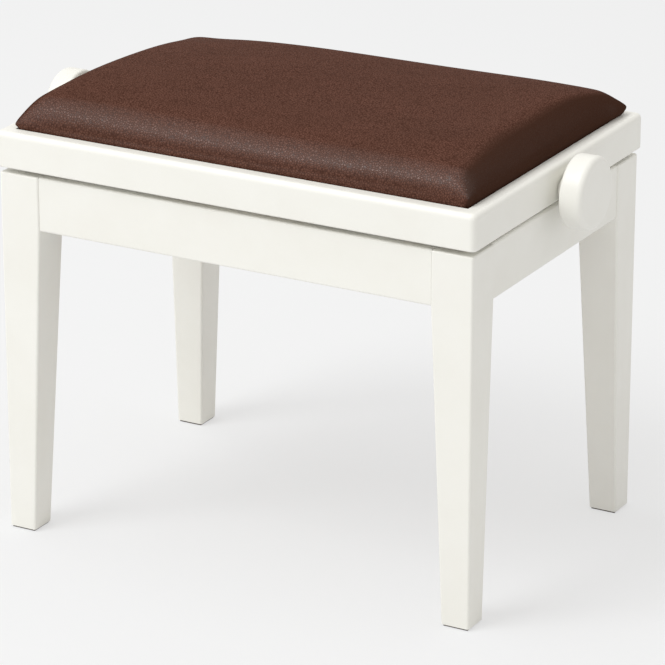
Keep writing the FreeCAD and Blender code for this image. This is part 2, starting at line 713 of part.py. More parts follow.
def spindle():
    body = turned("spindle", [
        (f"-{SPINDLE_END}", "0"),
        (f"-{SPINDLE_END}", "spindle_radius"),
        ("thread_start - thread_relief", "spindle_radius"),
        ("thread_start - thread_relief", "thread_root"),
        ("thread_start", "thread_root"),
        ("thread_start", "spindle_radius"),
        ("thread_end", "spindle_radius"),
        ("thread_end", "thread_root"),
        ("thread_end + thread_relief", "thread_root"),
        ("thread_end + thread_relief", "spindle_radius"),
        (SPINDLE_END, "spindle_radius"),
        (SPINDLE_END, "0"),
    ])
    place(body, z="pivot_high")
    holes = both_ends(cross_pin("spindle_pin_hole", "cross_pin_radius + fit_gap"))
    return cut("spindle", body, holes)


def spindle_bush_right():
    inner = "(seat_length / 2 - rim_width - ledge_width)"
    body = turned("spindle_bush_right", [
        (inner, "spindle_radius + fit_gap"),
        (inner, "bush_radius"),
        ("seat_length / 2", "bush_radius"),
        ("seat_length / 2", "bush_flange"),
        ("seat_length / 2 + bush_flange_thick", "bush_flange"),
        ("seat_length / 2 + bush_flange_thick", "spindle_radius + fit_gap"),
    ])
    place(body, z="pivot_high")
    return body


COLLAR_X = "(seat_length / 2 - rim_width - ledge_width - collar_gap - collar_length)"


def collar_screw(name, radius):
    start = (f"{COLLAR_X} + collar_length / 2", "0", "pivot_high - collar_radius")
    return rod(name, radius, "collar_radius - spindle_radius", start, "+Z")


def thrust_collar_right():
    start = (COLLAR_X, "0", "pivot_high")
    ring = rod("thrust_collar_ring", "collar_radius", "collar_length", start, "+X")
    hole = rod("thrust_collar_hole", "spindle_radius + fit_gap", "collar_length", start, "+X")
    screw = collar_screw("thrust_collar_tap", "collar_screw + fit_gap")
    return cut("thrust_collar_right", ring, [hole, screw])


def cross_pin(name, radius):
    hub_middle = "seat_length / 2 + (bush_flange_thick + hub_gap + knob_stand) / 2"
    return rod(name, radius, "2 * hub_radius", (hub_middle, "0", "pivot_high - hub_radius"), "+Z")


# Knob: a flat-faced disc with a rounded rim, on a hub with a blind bore for the spindle.
def knob_right():
    hub_start = "(seat_length / 2 + bush_flange_thick + hub_gap)"
    face = f"({KNOB_BACK} + knob_thick)"
    body = turned("knob_blank", [
        (hub_start, "spindle_radius + fit_gap"),
        (hub_start, "hub_radius"),
        (KNOB_BACK, "hub_radius"),
        (KNOB_BACK, "knob_radius"),
        (face, "knob_radius"),
        (face, "0"),
        (SPINDLE_END, "0"),
        (SPINDLE_END, "spindle_radius + fit_gap"),
    ])
    doc.recompute()

    def rim_at(text):
        return lambda e: near(e.BoundBox.YLength, "2 * knob_radius") and near(e.BoundBox.XMin, text)

    front = round_edges(body, body.Tip, "knob_face_round", rim_at(face))
    round_edges(body, front, "knob_back_round", rim_at(KNOB_BACK))
    place(body, z="pivot_high")
    return cut("knob_right", body, [cross_pin("knob_pin_hole", "cross_pin_radius + fit_gap")])


# Seat frame: a moulding with a ledge inside for the board, mitred into four rails.
def seat_frame():
    body = new_body("seat_frame")
    outside = new_sketch(body, "frame_outside", "XY_Plane", "seat_bottom")
    draw_rectangle(outside, "-seat_length / 2", "-seat_depth / 2", "seat_length / 2", "seat_depth / 2")
    solid = pad(body, outside, "seat_height")
    corners = round_edges(body, solid, "corner_round", lambda e: along(e, "Z"))
    top = round_edges(body, corners, "rim_round", lambda e: near(e.BoundBox.ZMin, SEAT_TOP))
    round_edges(body, top, "edge_round", lambda e: near(e.BoundBox.ZMax, "seat_bottom"))
    recess_x = "(seat_length / 2 - rim_width)"
    recess_y = "(seat_depth / 2 - rim_width)"
    recess = new_sketch(body, "frame_recess", "XY_Plane", SEAT_TOP)
    draw_rectangle(recess, f"-{recess_x}", f"-{recess_y}", recess_x, recess_y)
    pocket(body, recess, "ledge_depth")
    inside_x = f"({recess_x} - ledge_width)"
    inside_y = f"({recess_y} - ledge_width)"
    inside = new_sketch(body, "frame_inside", "XY_Plane", SEAT_TOP)
    draw_rectangle(inside, f"-{inside_x}", f"-{inside_y}", inside_x, inside_y)
    pocket(body, inside, "seat_height")
    return body


def mitre_wedge(name, corners):
    body = new_body(name)
    sketch = new_sketch(body, f"{name}_plan", "XY_Plane", "seat_bottom")
    draw_polygon(sketch, corners)
    pad(body, sketch, "seat_height")
    return body


def board_screw_places():
    """Screws up through the ledge in one quarter of the frame: two in the long rail, one in the short."""
    yield "front_middle", ("-screw_middle", "-seat_depth / 2 + screw_inset")
    yield "front_end", ("-screw_end", "-seat_depth / 2 + screw_inset")
    yield "side", ("-seat_length / 2 + screw_inset", "-screw_side")


def board_screw(name, x, y):
    start = (x, y, "seat_bottom + bore_depth")
    length = f"{LEDGE} - seat_bottom - bore_depth + board_sink"
    return wood_screw(f"board_screw_{name}", start, "+Z", length)


def board_screw_hole(name, x, y, shank_name):
    start = (x, y, "seat_bottom")
    bore = rod(f"{shank_name}_bore_{name}", "screw_head + bore_gap", "bore_depth", start, "+Z")
    depth = f"{LEDGE} - seat_bottom + board_sink"
    shank = screw_hole(f"{shank_name}_shank_{name}", depth, start, "+Z")
    return fuse(f"{shank_name}_{name}", [bore, shank])


def seat_rails(frame):
    """Front and left rails of the mitred frame. The others are their mirror images."""
    half_x = "seat_length / 2"
    half_y = "seat_depth / 2"
    point = f"({half_x} - {half_y})"
    front_wedge = mitre_wedge("front_wedge", [(f"-{half_x}", f"-{half_y}"), (half_x, f"-{half_y}"),
                                              (point, "0"), (f"-{point}", "0")])
    left_wedge = mitre_wedge("left_wedge", [(f"-{half_x}", f"-{half_y}"), (f"-{point}", "0"),
                                            (f"-{half_x}", half_y)])
    blanks = {}
    for name, wedge in (("front", front_wedge), ("left", left_wedge)):
        shared = doc.addObject("Part::Common", f"seat_rail_{name}_blank")
        shared.Base = frame
        shared.Tool = wedge
        blanks[name] = shared
    front_tools = []
    left_tools = []
    for name, (x, y) in board_screw_places():
        hole = board_screw_hole(name, x, y, "rail_hole")
        if name == "side":
            left_tools += front_and_back(hole)
        else:
            front_tools += both_ends(hole)
    bush_hole = rod("bush_hole", "bush_radius + fit_gap", "rim_width + ledge_width",
                    (f"-{half_x}", "0", "pivot_high"), "+X")
    left_tools.append(bush_hole)
    front_rail = cut("seat_rail_front", blanks["front"], front_tools)
    left_rail = cut("seat_rail_left", blanks["left"], left_tools)
    return front_rail, left_rail


# Seat board: plywood on the ledge, drilled from below for the rail and track screws.
def seat_board():
    body = new_body("seat_board_blank")
    sketch = new_sketch(body, "seat_board_plan", "XY_Plane", LEDGE)
    half_x = "(seat_length / 2 - rim_width - board_gap)"
    half_y = "(seat_depth / 2 - rim_width - board_gap)"
    draw_rectangle(sketch, f"-{half_x}", f"-{half_y}", half_x, half_y)
    sheet_of_ply = pad(body, sketch, "board_thick")
    round_edges(body, sheet_of_ply, "corner_round", lambda e: along(e, "Z"))
    tools = []
    for name, (x, y) in board_screw_places():
        tools += four_corners(board_screw_hole(name, x, y, "board_hole"))
    for name, start in upper_screw_places():
        tools += four_corners(screw_hole(f"board_hole_{name}", "track_wall + board_sink", start, "+Z"))
    return cut("seat_board", body, tools)


# Cushion: lofted from end to end through crowned sections of lines and arcs.
def cushion_section(x, inset, bottom):
    """One section across the cushion, crowned, with rounded shoulders and drawn-in sides."""
    half_x = size("seat_length / 2 - rim_width - cover_gap") - inset
    half_y = size("seat_depth / 2 - rim_width - cover_gap") - inset
    corner = size("cover_corner")
    shoulder = size("cover_shoulder")
    draw = size("cover_draw")
    tilt = math.radians(size("cover_tilt"))
    into_corner = max(0.0, corner - half_x + abs(x))
    half = half_y - corner + math.sqrt(corner ** 2 - into_corner ** 2) - draw * (1 - (x / half_x) ** 2)
    fullness = 1 - abs(x / half_x) ** size("swell_power")
    swell = max(size("end_swell"), max(0.0, fullness) ** (1 / size("swell_root")))
    side_z = size(f"{SEAT_TOP} + cover_side")
    crest_z = side_z + (size("cover_crown - cover_side") - inset) * swell
    shoulder_rise = (shoulder * math.cos(tilt) - inset) * swell
    lean_y = half - draw / 2
    bend = (math.pi / 2 + tilt) / 2
    bend_y = lean_y - shoulder * (1 - math.sin(bend))
    bend_z = side_z + shoulder_rise * math.cos(bend)
    top_y = lean_y - shoulder * (1 - math.sin(tilt))
    top_z = side_z + shoulder_rise

    def at(y, z):
        return FreeCAD.Vector(x, y, z)

    edges = [
        Part.LineSegment(at(-half, bottom), at(half, bottom)),
        Part.LineSegment(at(half, bottom), at(lean_y, side_z)),
        Part.Arc(at(lean_y, side_z), at(bend_y, bend_z), at(top_y, top_z)),
        Part.Arc(at(top_y, top_z), at(0, crest_z), at(-top_y, top_z)),
        Part.Arc(at(-top_y, top_z), at(-bend_y, bend_z), at(-lean_y, side_z)),
        Part.LineSegment(at(-lean_y, side_z), at(-half, bottom)),
    ]
    return Part.Wire([edge.toShape() for edge in edges])


def cushion_form(inset, bottom):
    """The cushion's solid, drawn in on every side by the inset."""
    half_x = size("seat_length / 2 - rim_width - cover_gap") - inset
    steps = range(-SECTIONS_EACH_WAY, SECTIONS_EACH_WAY + 1)
    shares = [math.sin(math.pi / 2 * step / SECTIONS_EACH_WAY) for step in steps]
    sections = [cushion_section(half_x * share, inset, bottom) for share in shares]
    return Part.makeLoft(sections, True, False)


def leather_cover():
    """A skin over the foam and round the board's edge, open underneath."""
    outer = cushion_form(0.0, size(f"{LEDGE} + cover_lift"))
    inner = cushion_form(size("cover_thick"), size(LEDGE))
    cover = doc.addObject("Part::Feature", "leather_cover")
    cover.Shape = outer.cut(inner)
    cover.Placement = FreeCAD.Placement()
    return cover


def foam_pad():
    foam = doc.addObject("Part::Feature", "foam_pad")
    foam.Shape = cushion_form(size("cover_thick + cover_fit"), size(f"{LEDGE} + board_thick"))
    foam.Placement = FreeCAD.Placement()
    return foam


def name_four(stem, front_left):
    """A corner piece and its three mirror images."""
    keep(f"{stem}_front_left", front_left)
    right = keep(f"{stem}_front_right", across(front_left, f"{stem}_front_right"))
    keep(f"{stem}_rear_left", behind(front_left, f"{stem}_rear_left"))
    keep(f"{stem}_rear_right", behind(right, f"{stem}_rear_right"))


def name_front_rear(stem, front):
    keep(f"{stem}_front", front)
    keep(f"{stem}_rear", behind(front, f"{stem}_rear"))


def name_right_left(stem, right):
    keep(f"{stem}_right", right)
    keep(f"{stem}_left", across(right, f"{stem}_left"))


def name_left_right(stem, left):
    keep(f"{stem}_left", left)
    keep(f"{stem}_right", across(left, f"{stem}_right"))


def all_four(label, things):
    """One node holding every thing at all four corners."""
    solids = []
    for thing in things:
        solids += four_corners(thing)
    keep(label, group(label, solids))


def build_base():
    name_four("leg", leg_front_left())
    name_four("foot_pad", foot_pad())
    name_front_rear("apron", apron_front())
    name_left_right("apron", apron_left())
    name_four("corner_plate", corner_plate())
    all_four("apron_dowels", dowels("dowel", "dowel_radius", "dowel_sink"))
    all_four("hanger_bolts", [hanger_bolt("hanger_bolt", "bolt_radius")])
    all_four("hanger_washers", [hanger_washer()])
    all_four("hanger_nuts", [hanger_nut()])
    all_four("plate_screws", [wood_screw(f"plate_screw_{name}", start, axis, "plate_thick + screw_sink")
                              for name, start, axis in plate_screw_places()])
    name_front_rear("lower_track", lower_track_front())
    all_four("lower_track_screws", [wood_screw(f"track_screw_{name}", start, "-Y", "track_wall + screw_sink")
                                    for name, start in lower_screw_places()])
    lower_pin = pivot_pin("lower_pivot_pin", "pivot_low")
    keep("lower_pivot_pins", group("lower_pivot_pins", front_and_back(lower_pin)))


def build_arms():
    name_front_rear("drive_arm", drive_arm_front())
    keep("centre_pins", group("centre_pins", front_and_back(centre_pin())))
    keep("centre_spacers", group("centre_spacers", front_and_back(centre_spacer())))
    name_front_rear("follower_arm", follower_arm_front())
    keep("slide_rod", slide_rod())
    lower = roller("lower_roller", "roller_inset", "pivot_low")
    keep("lower_rollers", group("lower_rollers", front_and_back(lower)))
    keep("nut_block", nut_block())
    name_front_rear("crossbar", crossbar_front())
    upper = roller("upper_roller", "arm_outer + arm_thick + spacer_play", ARM_END_HIGH)
    keep("upper_rollers", group("upper_rollers", front_and_back(upper)))


def build_seat():
    rail_front, rail_left = seat_rails(seat_frame())
    name_front_rear("seat_rail", rail_front)
    name_left_right("seat_rail", rail_left)
    keep("seat_board", seat_board())
    all_four("board_screws", [board_screw(name, x, y) for name, (x, y) in board_screw_places()])
    keep("foam_pad", foam_pad())
    keep("leather_cover", leather_cover())
    name_front_rear("upper_track", upper_track_front())
    all_four("upper_track_screws", [wood_screw(f"track_screw_{name}", start, "+Z", "track_wall + board_sink")
                                    for name, start in upper_screw_places()])
    upper_pin = pivot_pin("upper_pivot_pin", "pivot_high")
    keep("upper_pivot_pins", group("upper_pivot_pins", front_and_back(upper_pin)))
    name_right_left("spindle_bush", spindle_bush_right())


def build_spindle():
    keep("spindle", spindle())
    name_right_left("thrust_collar", thrust_collar_right())
    keep("collar_screws", group("collar_screws", both_ends(collar_screw("collar_screw", "collar_screw"))))
    name_right_left("knob", knob_right())
    keep("knob_pins", group("knob_pins", both_ends(cross_pin("knob_pin", "cross_pin_radius"))))


build_base()
build_arms()
build_seat()
build_spindle()
doc.recompute()

for thing in doc.Objects:
    if "Invalid" in thing.State or "Error" in thing.State:
        raise ValueError(f"{thing.Name} failed: {thing.State}")
for label, thing in parts.items():
    if thing.Shape.isNull() or not thing.Shape.isValid() or not thing.Shape.Solids:
        raise ValueError(f"{label} has no valid solid")

os.makedirs("parts", exist_ok=True)
for label, thing in parts.items():
    thing.Shape.exportStep(f"parts/{label}.step")
print(f"{len(parts)} pieces written")
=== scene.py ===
# %% [markdown]
# This lesson dresses a piano bench whose seat goes up and down. Four tapered legs and four aprons
# make the stand. A moulded frame with a grained cushion rides above it on a scissor lift, and a
# knob at each end turns the spindle that drives the lift.
# The construction comes in as a fixed frame. What Blender adds is looks: the finishes, the soft
# cushion, and the small hardware that repeats.

# %% Load the frame
import bmesh
import bpy
import json
import math
import numpy as np
from mathutils import Matrix, Vector


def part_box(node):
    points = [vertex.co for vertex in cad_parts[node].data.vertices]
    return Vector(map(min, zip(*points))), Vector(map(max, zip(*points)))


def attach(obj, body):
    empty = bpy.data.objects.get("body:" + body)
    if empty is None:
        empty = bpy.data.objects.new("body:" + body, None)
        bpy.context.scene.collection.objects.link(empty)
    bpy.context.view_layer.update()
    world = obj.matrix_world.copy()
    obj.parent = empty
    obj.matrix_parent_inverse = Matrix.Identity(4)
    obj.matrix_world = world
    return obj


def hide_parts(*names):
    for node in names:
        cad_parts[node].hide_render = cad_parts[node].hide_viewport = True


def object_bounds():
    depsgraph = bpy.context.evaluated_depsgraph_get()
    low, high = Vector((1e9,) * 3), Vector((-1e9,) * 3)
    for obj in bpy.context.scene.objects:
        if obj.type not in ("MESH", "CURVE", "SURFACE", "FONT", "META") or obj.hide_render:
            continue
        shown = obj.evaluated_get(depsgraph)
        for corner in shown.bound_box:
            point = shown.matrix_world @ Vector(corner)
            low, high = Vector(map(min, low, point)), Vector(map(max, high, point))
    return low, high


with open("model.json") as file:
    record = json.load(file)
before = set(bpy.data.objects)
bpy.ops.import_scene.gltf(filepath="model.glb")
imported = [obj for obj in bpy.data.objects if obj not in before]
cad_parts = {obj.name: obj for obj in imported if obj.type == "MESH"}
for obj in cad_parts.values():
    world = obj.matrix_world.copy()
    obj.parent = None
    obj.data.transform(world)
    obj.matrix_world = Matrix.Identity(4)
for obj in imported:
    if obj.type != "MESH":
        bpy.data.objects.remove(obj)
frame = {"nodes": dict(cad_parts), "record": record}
cad_low, cad_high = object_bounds()
scene = bpy.context.scene
scene.view_settings.view_transform = "Standard"
span = [round(side * 1000) for side in cad_high - cad_low]
print("bench", span, "mm,", len(frame["nodes"]), "nodes")

# %% [markdown]
# The bench was photographed from the front right, a little above the seat, through a long lens, so
# its edges stay nearly parallel. A camera could be placed by eye and nudged. Here it is placed by
# its viewing angle and distance instead, because those are what a photographer would write down.

# %% Camera
IMAGE_SIDE = 665
VIEW_TURN = math.radians(29.15)
VIEW_RISE = math.radians(20.62)
FOCAL_PIXELS = 4000
SENSOR = 36
DISTANCE = 4.15886
AIM_HEIGHT = 0.25
AIM_RIGHT, AIM_UP = 0.01196, -0.04019
away = Vector((math.sin(VIEW_TURN), -math.cos(VIEW_TURN), 0)) * math.cos(VIEW_RISE)
away.z = math.sin(VIEW_RISE)
right = Vector((math.cos(VIEW_TURN), math.sin(VIEW_TURN), 0))
up = away.cross(right)
camera = bpy.data.objects.new("camera", bpy.data.cameras.new("camera"))
scene.collection.objects.link(camera)
camera.data.sensor_width = SENSOR
camera.data.lens = FOCAL_PIXELS * SENSOR / IMAGE_SIDE
camera.location = Vector((0, 0, AIM_HEIGHT)) + away * DISTANCE + right * AIM_RIGHT + up * AIM_UP
camera.rotation_mode = "QUATERNION"
camera.rotation_quaternion = Matrix((right, up, away)).transposed().to_quaternion()
scene.camera = camera
camera_place = [round(part, 2) for part in camera.location]
print("camera", camera_place, "lens", round(camera.data.lens), "mm")

# %% [markdown]
# Every finish below is a small tree of shader nodes. The first helper adds one node, sets its
# properties and fills its inputs, so that a tree reads as a list of steps. A value that is a socket
# is linked and any other value is typed in.

# %% Node helpers
def add_node(tree, kind, inputs=None, **settings):
    """Adds a node and fills or links its inputs, by name or by number."""
    node = tree.nodes.new(kind)
    for name, value in settings.items():
        setattr(node, name, value)
    for name, value in (inputs or {}).items():
        if isinstance(value, bpy.types.NodeSocket):
            tree.links.new(value, node.inputs[name])
        else:
            node.inputs[name].default_value = value
    return node


def mix_colours(tree, share, first, second):
    """A colour between two others."""
    first = first if isinstance(first, bpy.types.NodeSocket) else (*first, 1)
    second = second if isinstance(second, bpy.types.NodeSocket) else (*second, 1)
    inputs = {0: share, 6: first, 7: second}
    return add_node(tree, "ShaderNodeMix", inputs, data_type="RGBA").outputs[2]


def spread(tree, value, low, high, start=0.0, end=1.0):
    """Stretches a value from one range to another and keeps it there."""
    inputs = {"Value": value, "From Min": low, "From Max": high, "To Min": start, "To Max": end}
    return add_node(tree, "ShaderNodeMapRange", inputs).outputs["Result"]


def arithmetic(tree, operation, first, second):
    """One sum, product or the like of two values."""
    return add_node(tree, "ShaderNodeMath", {0: first, 1: second}, operation=operation).outputs[0]


def vector_maths(tree, operation, inputs):
    """One operation on vectors."""
    return add_node(tree, "ShaderNodeVectorMath", inputs, operation=operation).outputs[0]


def noise(tree, place, scale, detail, roughness=0.5):
    """The outputs of a noise texture."""
    inputs = {"Vector": place, "Scale": scale, "Detail": detail, "Roughness": roughness}
    return add_node(tree, "ShaderNodeTexNoise", inputs).outputs


def object_place(tree):
    """The point of the surface that is being shaded, in metres."""
    return add_node(tree, "ShaderNodeTexCoord").outputs["Object"]


# %% [markdown]
# The studio is a pale sweep of floor in a pale surround. The floor mixes in some plain paleness for
# the rays that the camera sends, so that the picture's ground stays nearly white without more light
# on the bench.

# %% Floor and surround
FLOOR_HALF = 8
FLOOR_TONE = (0.803, 0.81, 0.82, 1)
PALE = (0.915, 0.915, 0.915, 1)
FLOOR_GLOW = 0.60
SURROUND = 0.73
WARM_WHITE = (1, 0.985, 0.966, 1)
COOL_WHITE = (0.985, 1, 1)


def seen_directly(tree):
    """One for the rays that come straight to the camera, or by way of gloss or glass."""
    path = add_node(tree, "ShaderNodeLightPath").outputs
    either = arithmetic(tree, "MAXIMUM", path["Is Camera Ray"], path["Is Glossy Ray"])
    return arithmetic(tree, "MAXIMUM", either, path["Is Transmission Ray"])


def floor_material():
    """A pale matt floor with a share of plain glow for the rays that are seen directly."""
    material = bpy.data.materials.new("studio_floor")
    material.use_nodes = True
    tree = material.node_tree
    tree.nodes.clear()
    lit = add_node(tree, "ShaderNodeBsdfDiffuse", {"Color": FLOOR_TONE}).outputs[0]
    plain = add_node(tree, "ShaderNodeEmission", {"Color": PALE}).outputs[0]
    share = arithmetic(tree, "MULTIPLY", seen_directly(tree), FLOOR_GLOW)
    both = add_node(tree, "ShaderNodeMixShader", {0: share, 1: lit, 2: plain})
    add_node(tree, "ShaderNodeOutputMaterial", {"Surface": both.outputs[0]})
    return material


floor_mesh = bpy.data.meshes.new("floor")
signs = [(-1, -1), (1, -1), (1, 1), (-1, 1)]
floor_corners = [(FLOOR_HALF * x, FLOOR_HALF * y, 0) for x, y in signs]
floor_mesh.from_pydata(floor_corners, [], [(0, 1, 2, 3)])
floor_mesh.materials.append(floor_material())
floor = bpy.data.objects.new("floor", floor_mesh)
scene.collection.objects.link(floor)

world = bpy.data.worlds.new("studio")
world.use_nodes = True
scene.world = world
sky = world.node_tree
sky.nodes.clear()
wall = add_node(sky, "ShaderNodeBackground", {"Color": WARM_WHITE, "Strength": SURROUND})
add_node(sky, "ShaderNodeOutputWorld", {"Surface": wall.outputs[0]})
print("floor", FLOOR_HALF * 2, "m across, surround", SURROUND)

# %% [markdown]
# A tall softbox stands to the front left, with a weaker one overhead. The first could be a sun
# lamp, but then the shadow under the bench would have a hard edge. A large area lamp gives the
# short, soft shadow that falls to the right and to the rear. The overhead lamp hardly lights the
# paint, and is there for the shine along the cushion.

# %% Softboxes
LIGHT_TARGET = Vector((0, 0, 0.3))
LAMP_DISTANCE = 6.0


def softbox(name, source, level, width, height):
    """A rectangular lamp that gives a facing white surface the stated level."""
    lamp = bpy.data.objects.new(name, bpy.data.lights.new(name, "AREA"))
    scene.collection.objects.link(lamp)
    lamp.data.shape = "RECTANGLE"
    lamp.data.size = width
    lamp.data.size_y = height
    lamp.data.color = COOL_WHITE
    lamp.data.energy = level * math.pi ** 2 * LAMP_DISTANCE ** 2
    toward = Vector(source).normalized()
    lamp.location = LIGHT_TARGET + toward * LAMP_DISTANCE
    lamp.rotation_mode = "QUATERNION"
    lamp.rotation_quaternion = toward.to_track_quat("Z", "Y")
    print(name, round(lamp.data.energy, 1), "W")


softbox("key_softbox", source=(-0.34, -0.52, 0.78), level=0.46, width=2.6, height=3.2)
softbox("overhead_softbox", source=(-0.30, -0.05, 0.95), level=0.10, width=3.0, height=2.4)

# %% [markdown]
# Three effects turn up in more than one finish, so each is a node group. Tone drift lets a colour
# wander between two tones, as paint, wood and plating do. Fine relief is the faint unevenness of a
# sprayed or moulded skin. Drawn lines are the scratches that rolling and turning leave in metal.

# %% Shared effects
PATCH_RANGE = (0.35, 0.65)


def new_group(name, sockets_in, sockets_out):
    """An empty shader group with sockets given as name, kind and, on the way in, a default."""
    group = bpy.data.node_groups.new(name, "ShaderNodeTree")
    for label, kind, default in sockets_in:
        socket = group.interface.new_socket(label, in_out="INPUT", socket_type=kind)
        socket.default_value = default
    for label, kind in sockets_out:
        group.interface.new_socket(label, in_out="OUTPUT", socket_type=kind)
    entry = group.nodes.new("NodeGroupInput")
    leave = group.nodes.new("NodeGroupOutput")
    return group, entry.outputs, leave.inputs


def tone_drift_group():
    """Wanders between two tones in soft patches."""
    white = (1, 1, 1, 1)
    colours = [("First", "NodeSocketColor", white), ("Second", "NodeSocketColor", white)]
    size = [("Patch size", "NodeSocketFloat", 0.05)]
    result = [("Colour", "NodeSocketColor"), ("Mask", "NodeSocketFloat")]
    group, given, made = new_group("tone_drift", colours + size, result)
    scale = arithmetic(group, "DIVIDE", 1.0, given["Patch size"])
    patches = noise(group, object_place(group), scale, detail=4.0, roughness=0.6)["Fac"]
    mask = spread(group, patches, *PATCH_RANGE)
    group.links.new(mix_colours(group, mask, given["First"], given["Second"]), made["Colour"])
    group.links.new(mask, made["Mask"])
    return group


def fine_relief_group():
    """Small soft bumps of a given size."""
    size = [("Bump size", "NodeSocketFloat", 0.002)]
    group, given, made = new_group("fine_relief", size, [("Height", "NodeSocketFloat")])
    scale = arithmetic(group, "DIVIDE", 1.0, given["Bump size"])
    bumps = noise(group, object_place(group), scale, detail=2.0, roughness=0.45)["Fac"]
    group.links.new(bumps, made["Height"])
    return group


def drawn_lines_group():
    """Noise that is squeezed more in some directions than in others, so that it forms lines."""
    stretch = [("Stretch", "NodeSocketVector", (20.0, 900.0, 900.0))]
    group, given, made = new_group("drawn_lines", stretch, [("Height", "NodeSocketFloat")])
    squeezed = vector_maths(group, "MULTIPLY", {0: object_place(group), 1: given["Stretch"]})
    lines = noise(group, squeezed, 1.0, detail=3.0, roughness=0.7)["Fac"]
    group.links.new(lines, made["Height"])
    return group


tone_drift = tone_drift_group()
fine_relief = fine_relief_group()
drawn_lines = drawn_lines_group()
print("effects", tone_drift.name, fine_relief.name, drawn_lines.name)

# %% [markdown]
# A finish starts as a Principled shader with its constants typed straight into the shader. Each
# finish then links what changes over the surface.

# %% Finish helpers
def new_finish(name, **constants):
    """A material with a Principled shader and typed-in constants."""
    material = bpy.data.materials.new(name)
    material.use_nodes = True
    shader = material.node_tree.nodes["Principled BSDF"]
    for label, value in constants.items():
        shader.inputs[label.replace("_", " ")].default_value = value
    return material, material.node_tree, shader


def place_group(tree, group, **values):
    """Puts a shared effect in a finish with its own values."""
    node = tree.nodes.new("ShaderNodeGroup")
    node.node_tree = group
    for label, value in values.items():
        node.inputs[label.replace("_", " ")].default_value = value
    return node.outputs


def drifting(tree, first, second, patch):
    """The outputs of a tone drift between two tones."""
    tones = {"First": (*first, 1), "Second": (*second, 1)}
    return place_group(tree, tone_drift, Patch_size=patch, **tones)


def raise_surface(tree, shader, height, depth, strength=1.0):
    """Bump of a given depth in metres."""
    inputs = {"Height": height, "Distance": depth, "Strength": strength}
    bump = add_node(tree, "ShaderNodeBump", inputs)
    tree.links.new(bump.outputs["Normal"], shader.inputs["Normal"])


# %% [markdown]
# The stand, the seat frame and the knobs are sprayed with a warm white satin paint. On the real
# bench it hides the wood grain, so what is left to see is a faint orange peel and a slow drift
# between a cooler and a creamier white. A picture of paint would repeat, noise does not.

# %% White satin paint
COOLER_WHITE = (0.885, 0.876, 0.825)
CREAMY_WHITE = (0.865, 0.853, 0.796)
PAINT_PATCH = 0.09
PAINT_ROUGHNESS = (0.36, 0.44)
PEEL_SIZE, PEEL_DEPTH, PEEL_STRENGTH = 0.0035, 0.00012, 0.5


def white_paint():
    """Sprayed satin white with a faint orange peel."""
    material, tree, shader = new_finish("white_satin_paint", Specular_IOR_Level=0.42)
    drift = drifting(tree, COOLER_WHITE, CREAMY_WHITE, PAINT_PATCH)
    tree.links.new(drift["Colour"], shader.inputs["Base Color"])
    rough = spread(tree, drift["Mask"], 0.0, 1.0, *PAINT_ROUGHNESS)
    tree.links.new(rough, shader.inputs["Roughness"])
    peel = place_group(tree, fine_relief, Bump_size=PEEL_SIZE)["Height"]
    raise_surface(tree, shader, peel, PEEL_DEPTH, PEEL_STRENGTH)
    return material


# %% [markdown]
# The cover is brown leatherette. Its print is a field of pebbles about two and a half millimetres
# across with darker creases between them, and the tops shine a little more than the creases. A
# Voronoi texture gives cells, its distance to the edge gives the creases, and a little noise bends
# the cells so that no two look alike.
# The film on top is a clear coat that glints where it is seen squarely and has been rubbed, on the
# shoulders. Its relief is stronger than the base's, so that single pebbles sparkle. The two ends
# are painted a darker brown: painted shade on the faces that turn towards either end.

# %% Leatherette
WARM_BROWN = (0.132, 0.0560, 0.0378)
DULL_BROWN = (0.114, 0.0490, 0.0325)
CREASE_BROWN = (0.052, 0.018, 0.010)
# The next brown is painted shade for the two ends, which face sideways, away from the lamps.
END_SHADE_BROWN = (0.046, 0.0165, 0.0080)
BROWN_PATCH = 0.06
PEBBLE_SCALE, BEND_SCALE, PORE_SCALE = 400.0, 260.0, 1500.0
BEND_REACH, PORE_SHARE = 0.0022, 0.18
PEBBLE_EDGE, CREASE_TONE, CREASE_SHINE = (0.02, 0.30), (0.0, 0.7), (0.0, 0.6)
CREASE_ROUGHNESS = 0.16
END_SHADE_RANGE, TOP_LEAN = (0.24, 0.56), (0.12, 0.55)
SLANT, SLANT_ROUGHNESS = (0.15, 0.6), (0.32, 0.92)
FILM_SLANT, FILM_WEIGHT = (0.14, 0.50), (0.54, 0.0)
BASE_RELIEF, BASE_STRENGTH, FILM_RELIEF = 0.00012, 0.8, 0.0005


def pebble_print(tree, place):
    """The printed pebbles, from 0 in a crease to 1 on top."""
    wander = noise(tree, place, BEND_SCALE, detail=2.0)["Color"]
    centred = vector_maths(tree, "SUBTRACT", {0: wander, 1: (0.5, 0.5, 0.5)})
    small = vector_maths(tree, "SCALE", {0: centred, "Scale": BEND_REACH})
    bent = vector_maths(tree, "ADD", {0: place, 1: small})
    inputs = {"Vector": bent, "Scale": PEBBLE_SCALE}
    cells = add_node(tree, "ShaderNodeTexVoronoi", inputs, feature="DISTANCE_TO_EDGE")
    return spread(tree, cells.outputs["Distance"], *PEBBLE_EDGE)


def leather_colour_and_end_shade(tree, pebble, lean):
    """Drifting brown that is darker in the creases, with painted shade on the two ends."""
    drift = drifting(tree, WARM_BROWN, DULL_BROWN, BROWN_PATCH)["Colour"]
    creased = mix_colours(tree, spread(tree, pebble, *CREASE_TONE), CREASE_BROWN, drift)
    # Painted shade: where the surface faces along the bench, towards an end, the colour turns to
    # the darker end brown.
    sideways = arithmetic(tree, "ABSOLUTE", lean["X"], 0.0)
    return mix_colours(tree, spread(tree, sideways, *END_SHADE_RANGE), creased, END_SHADE_BROWN)


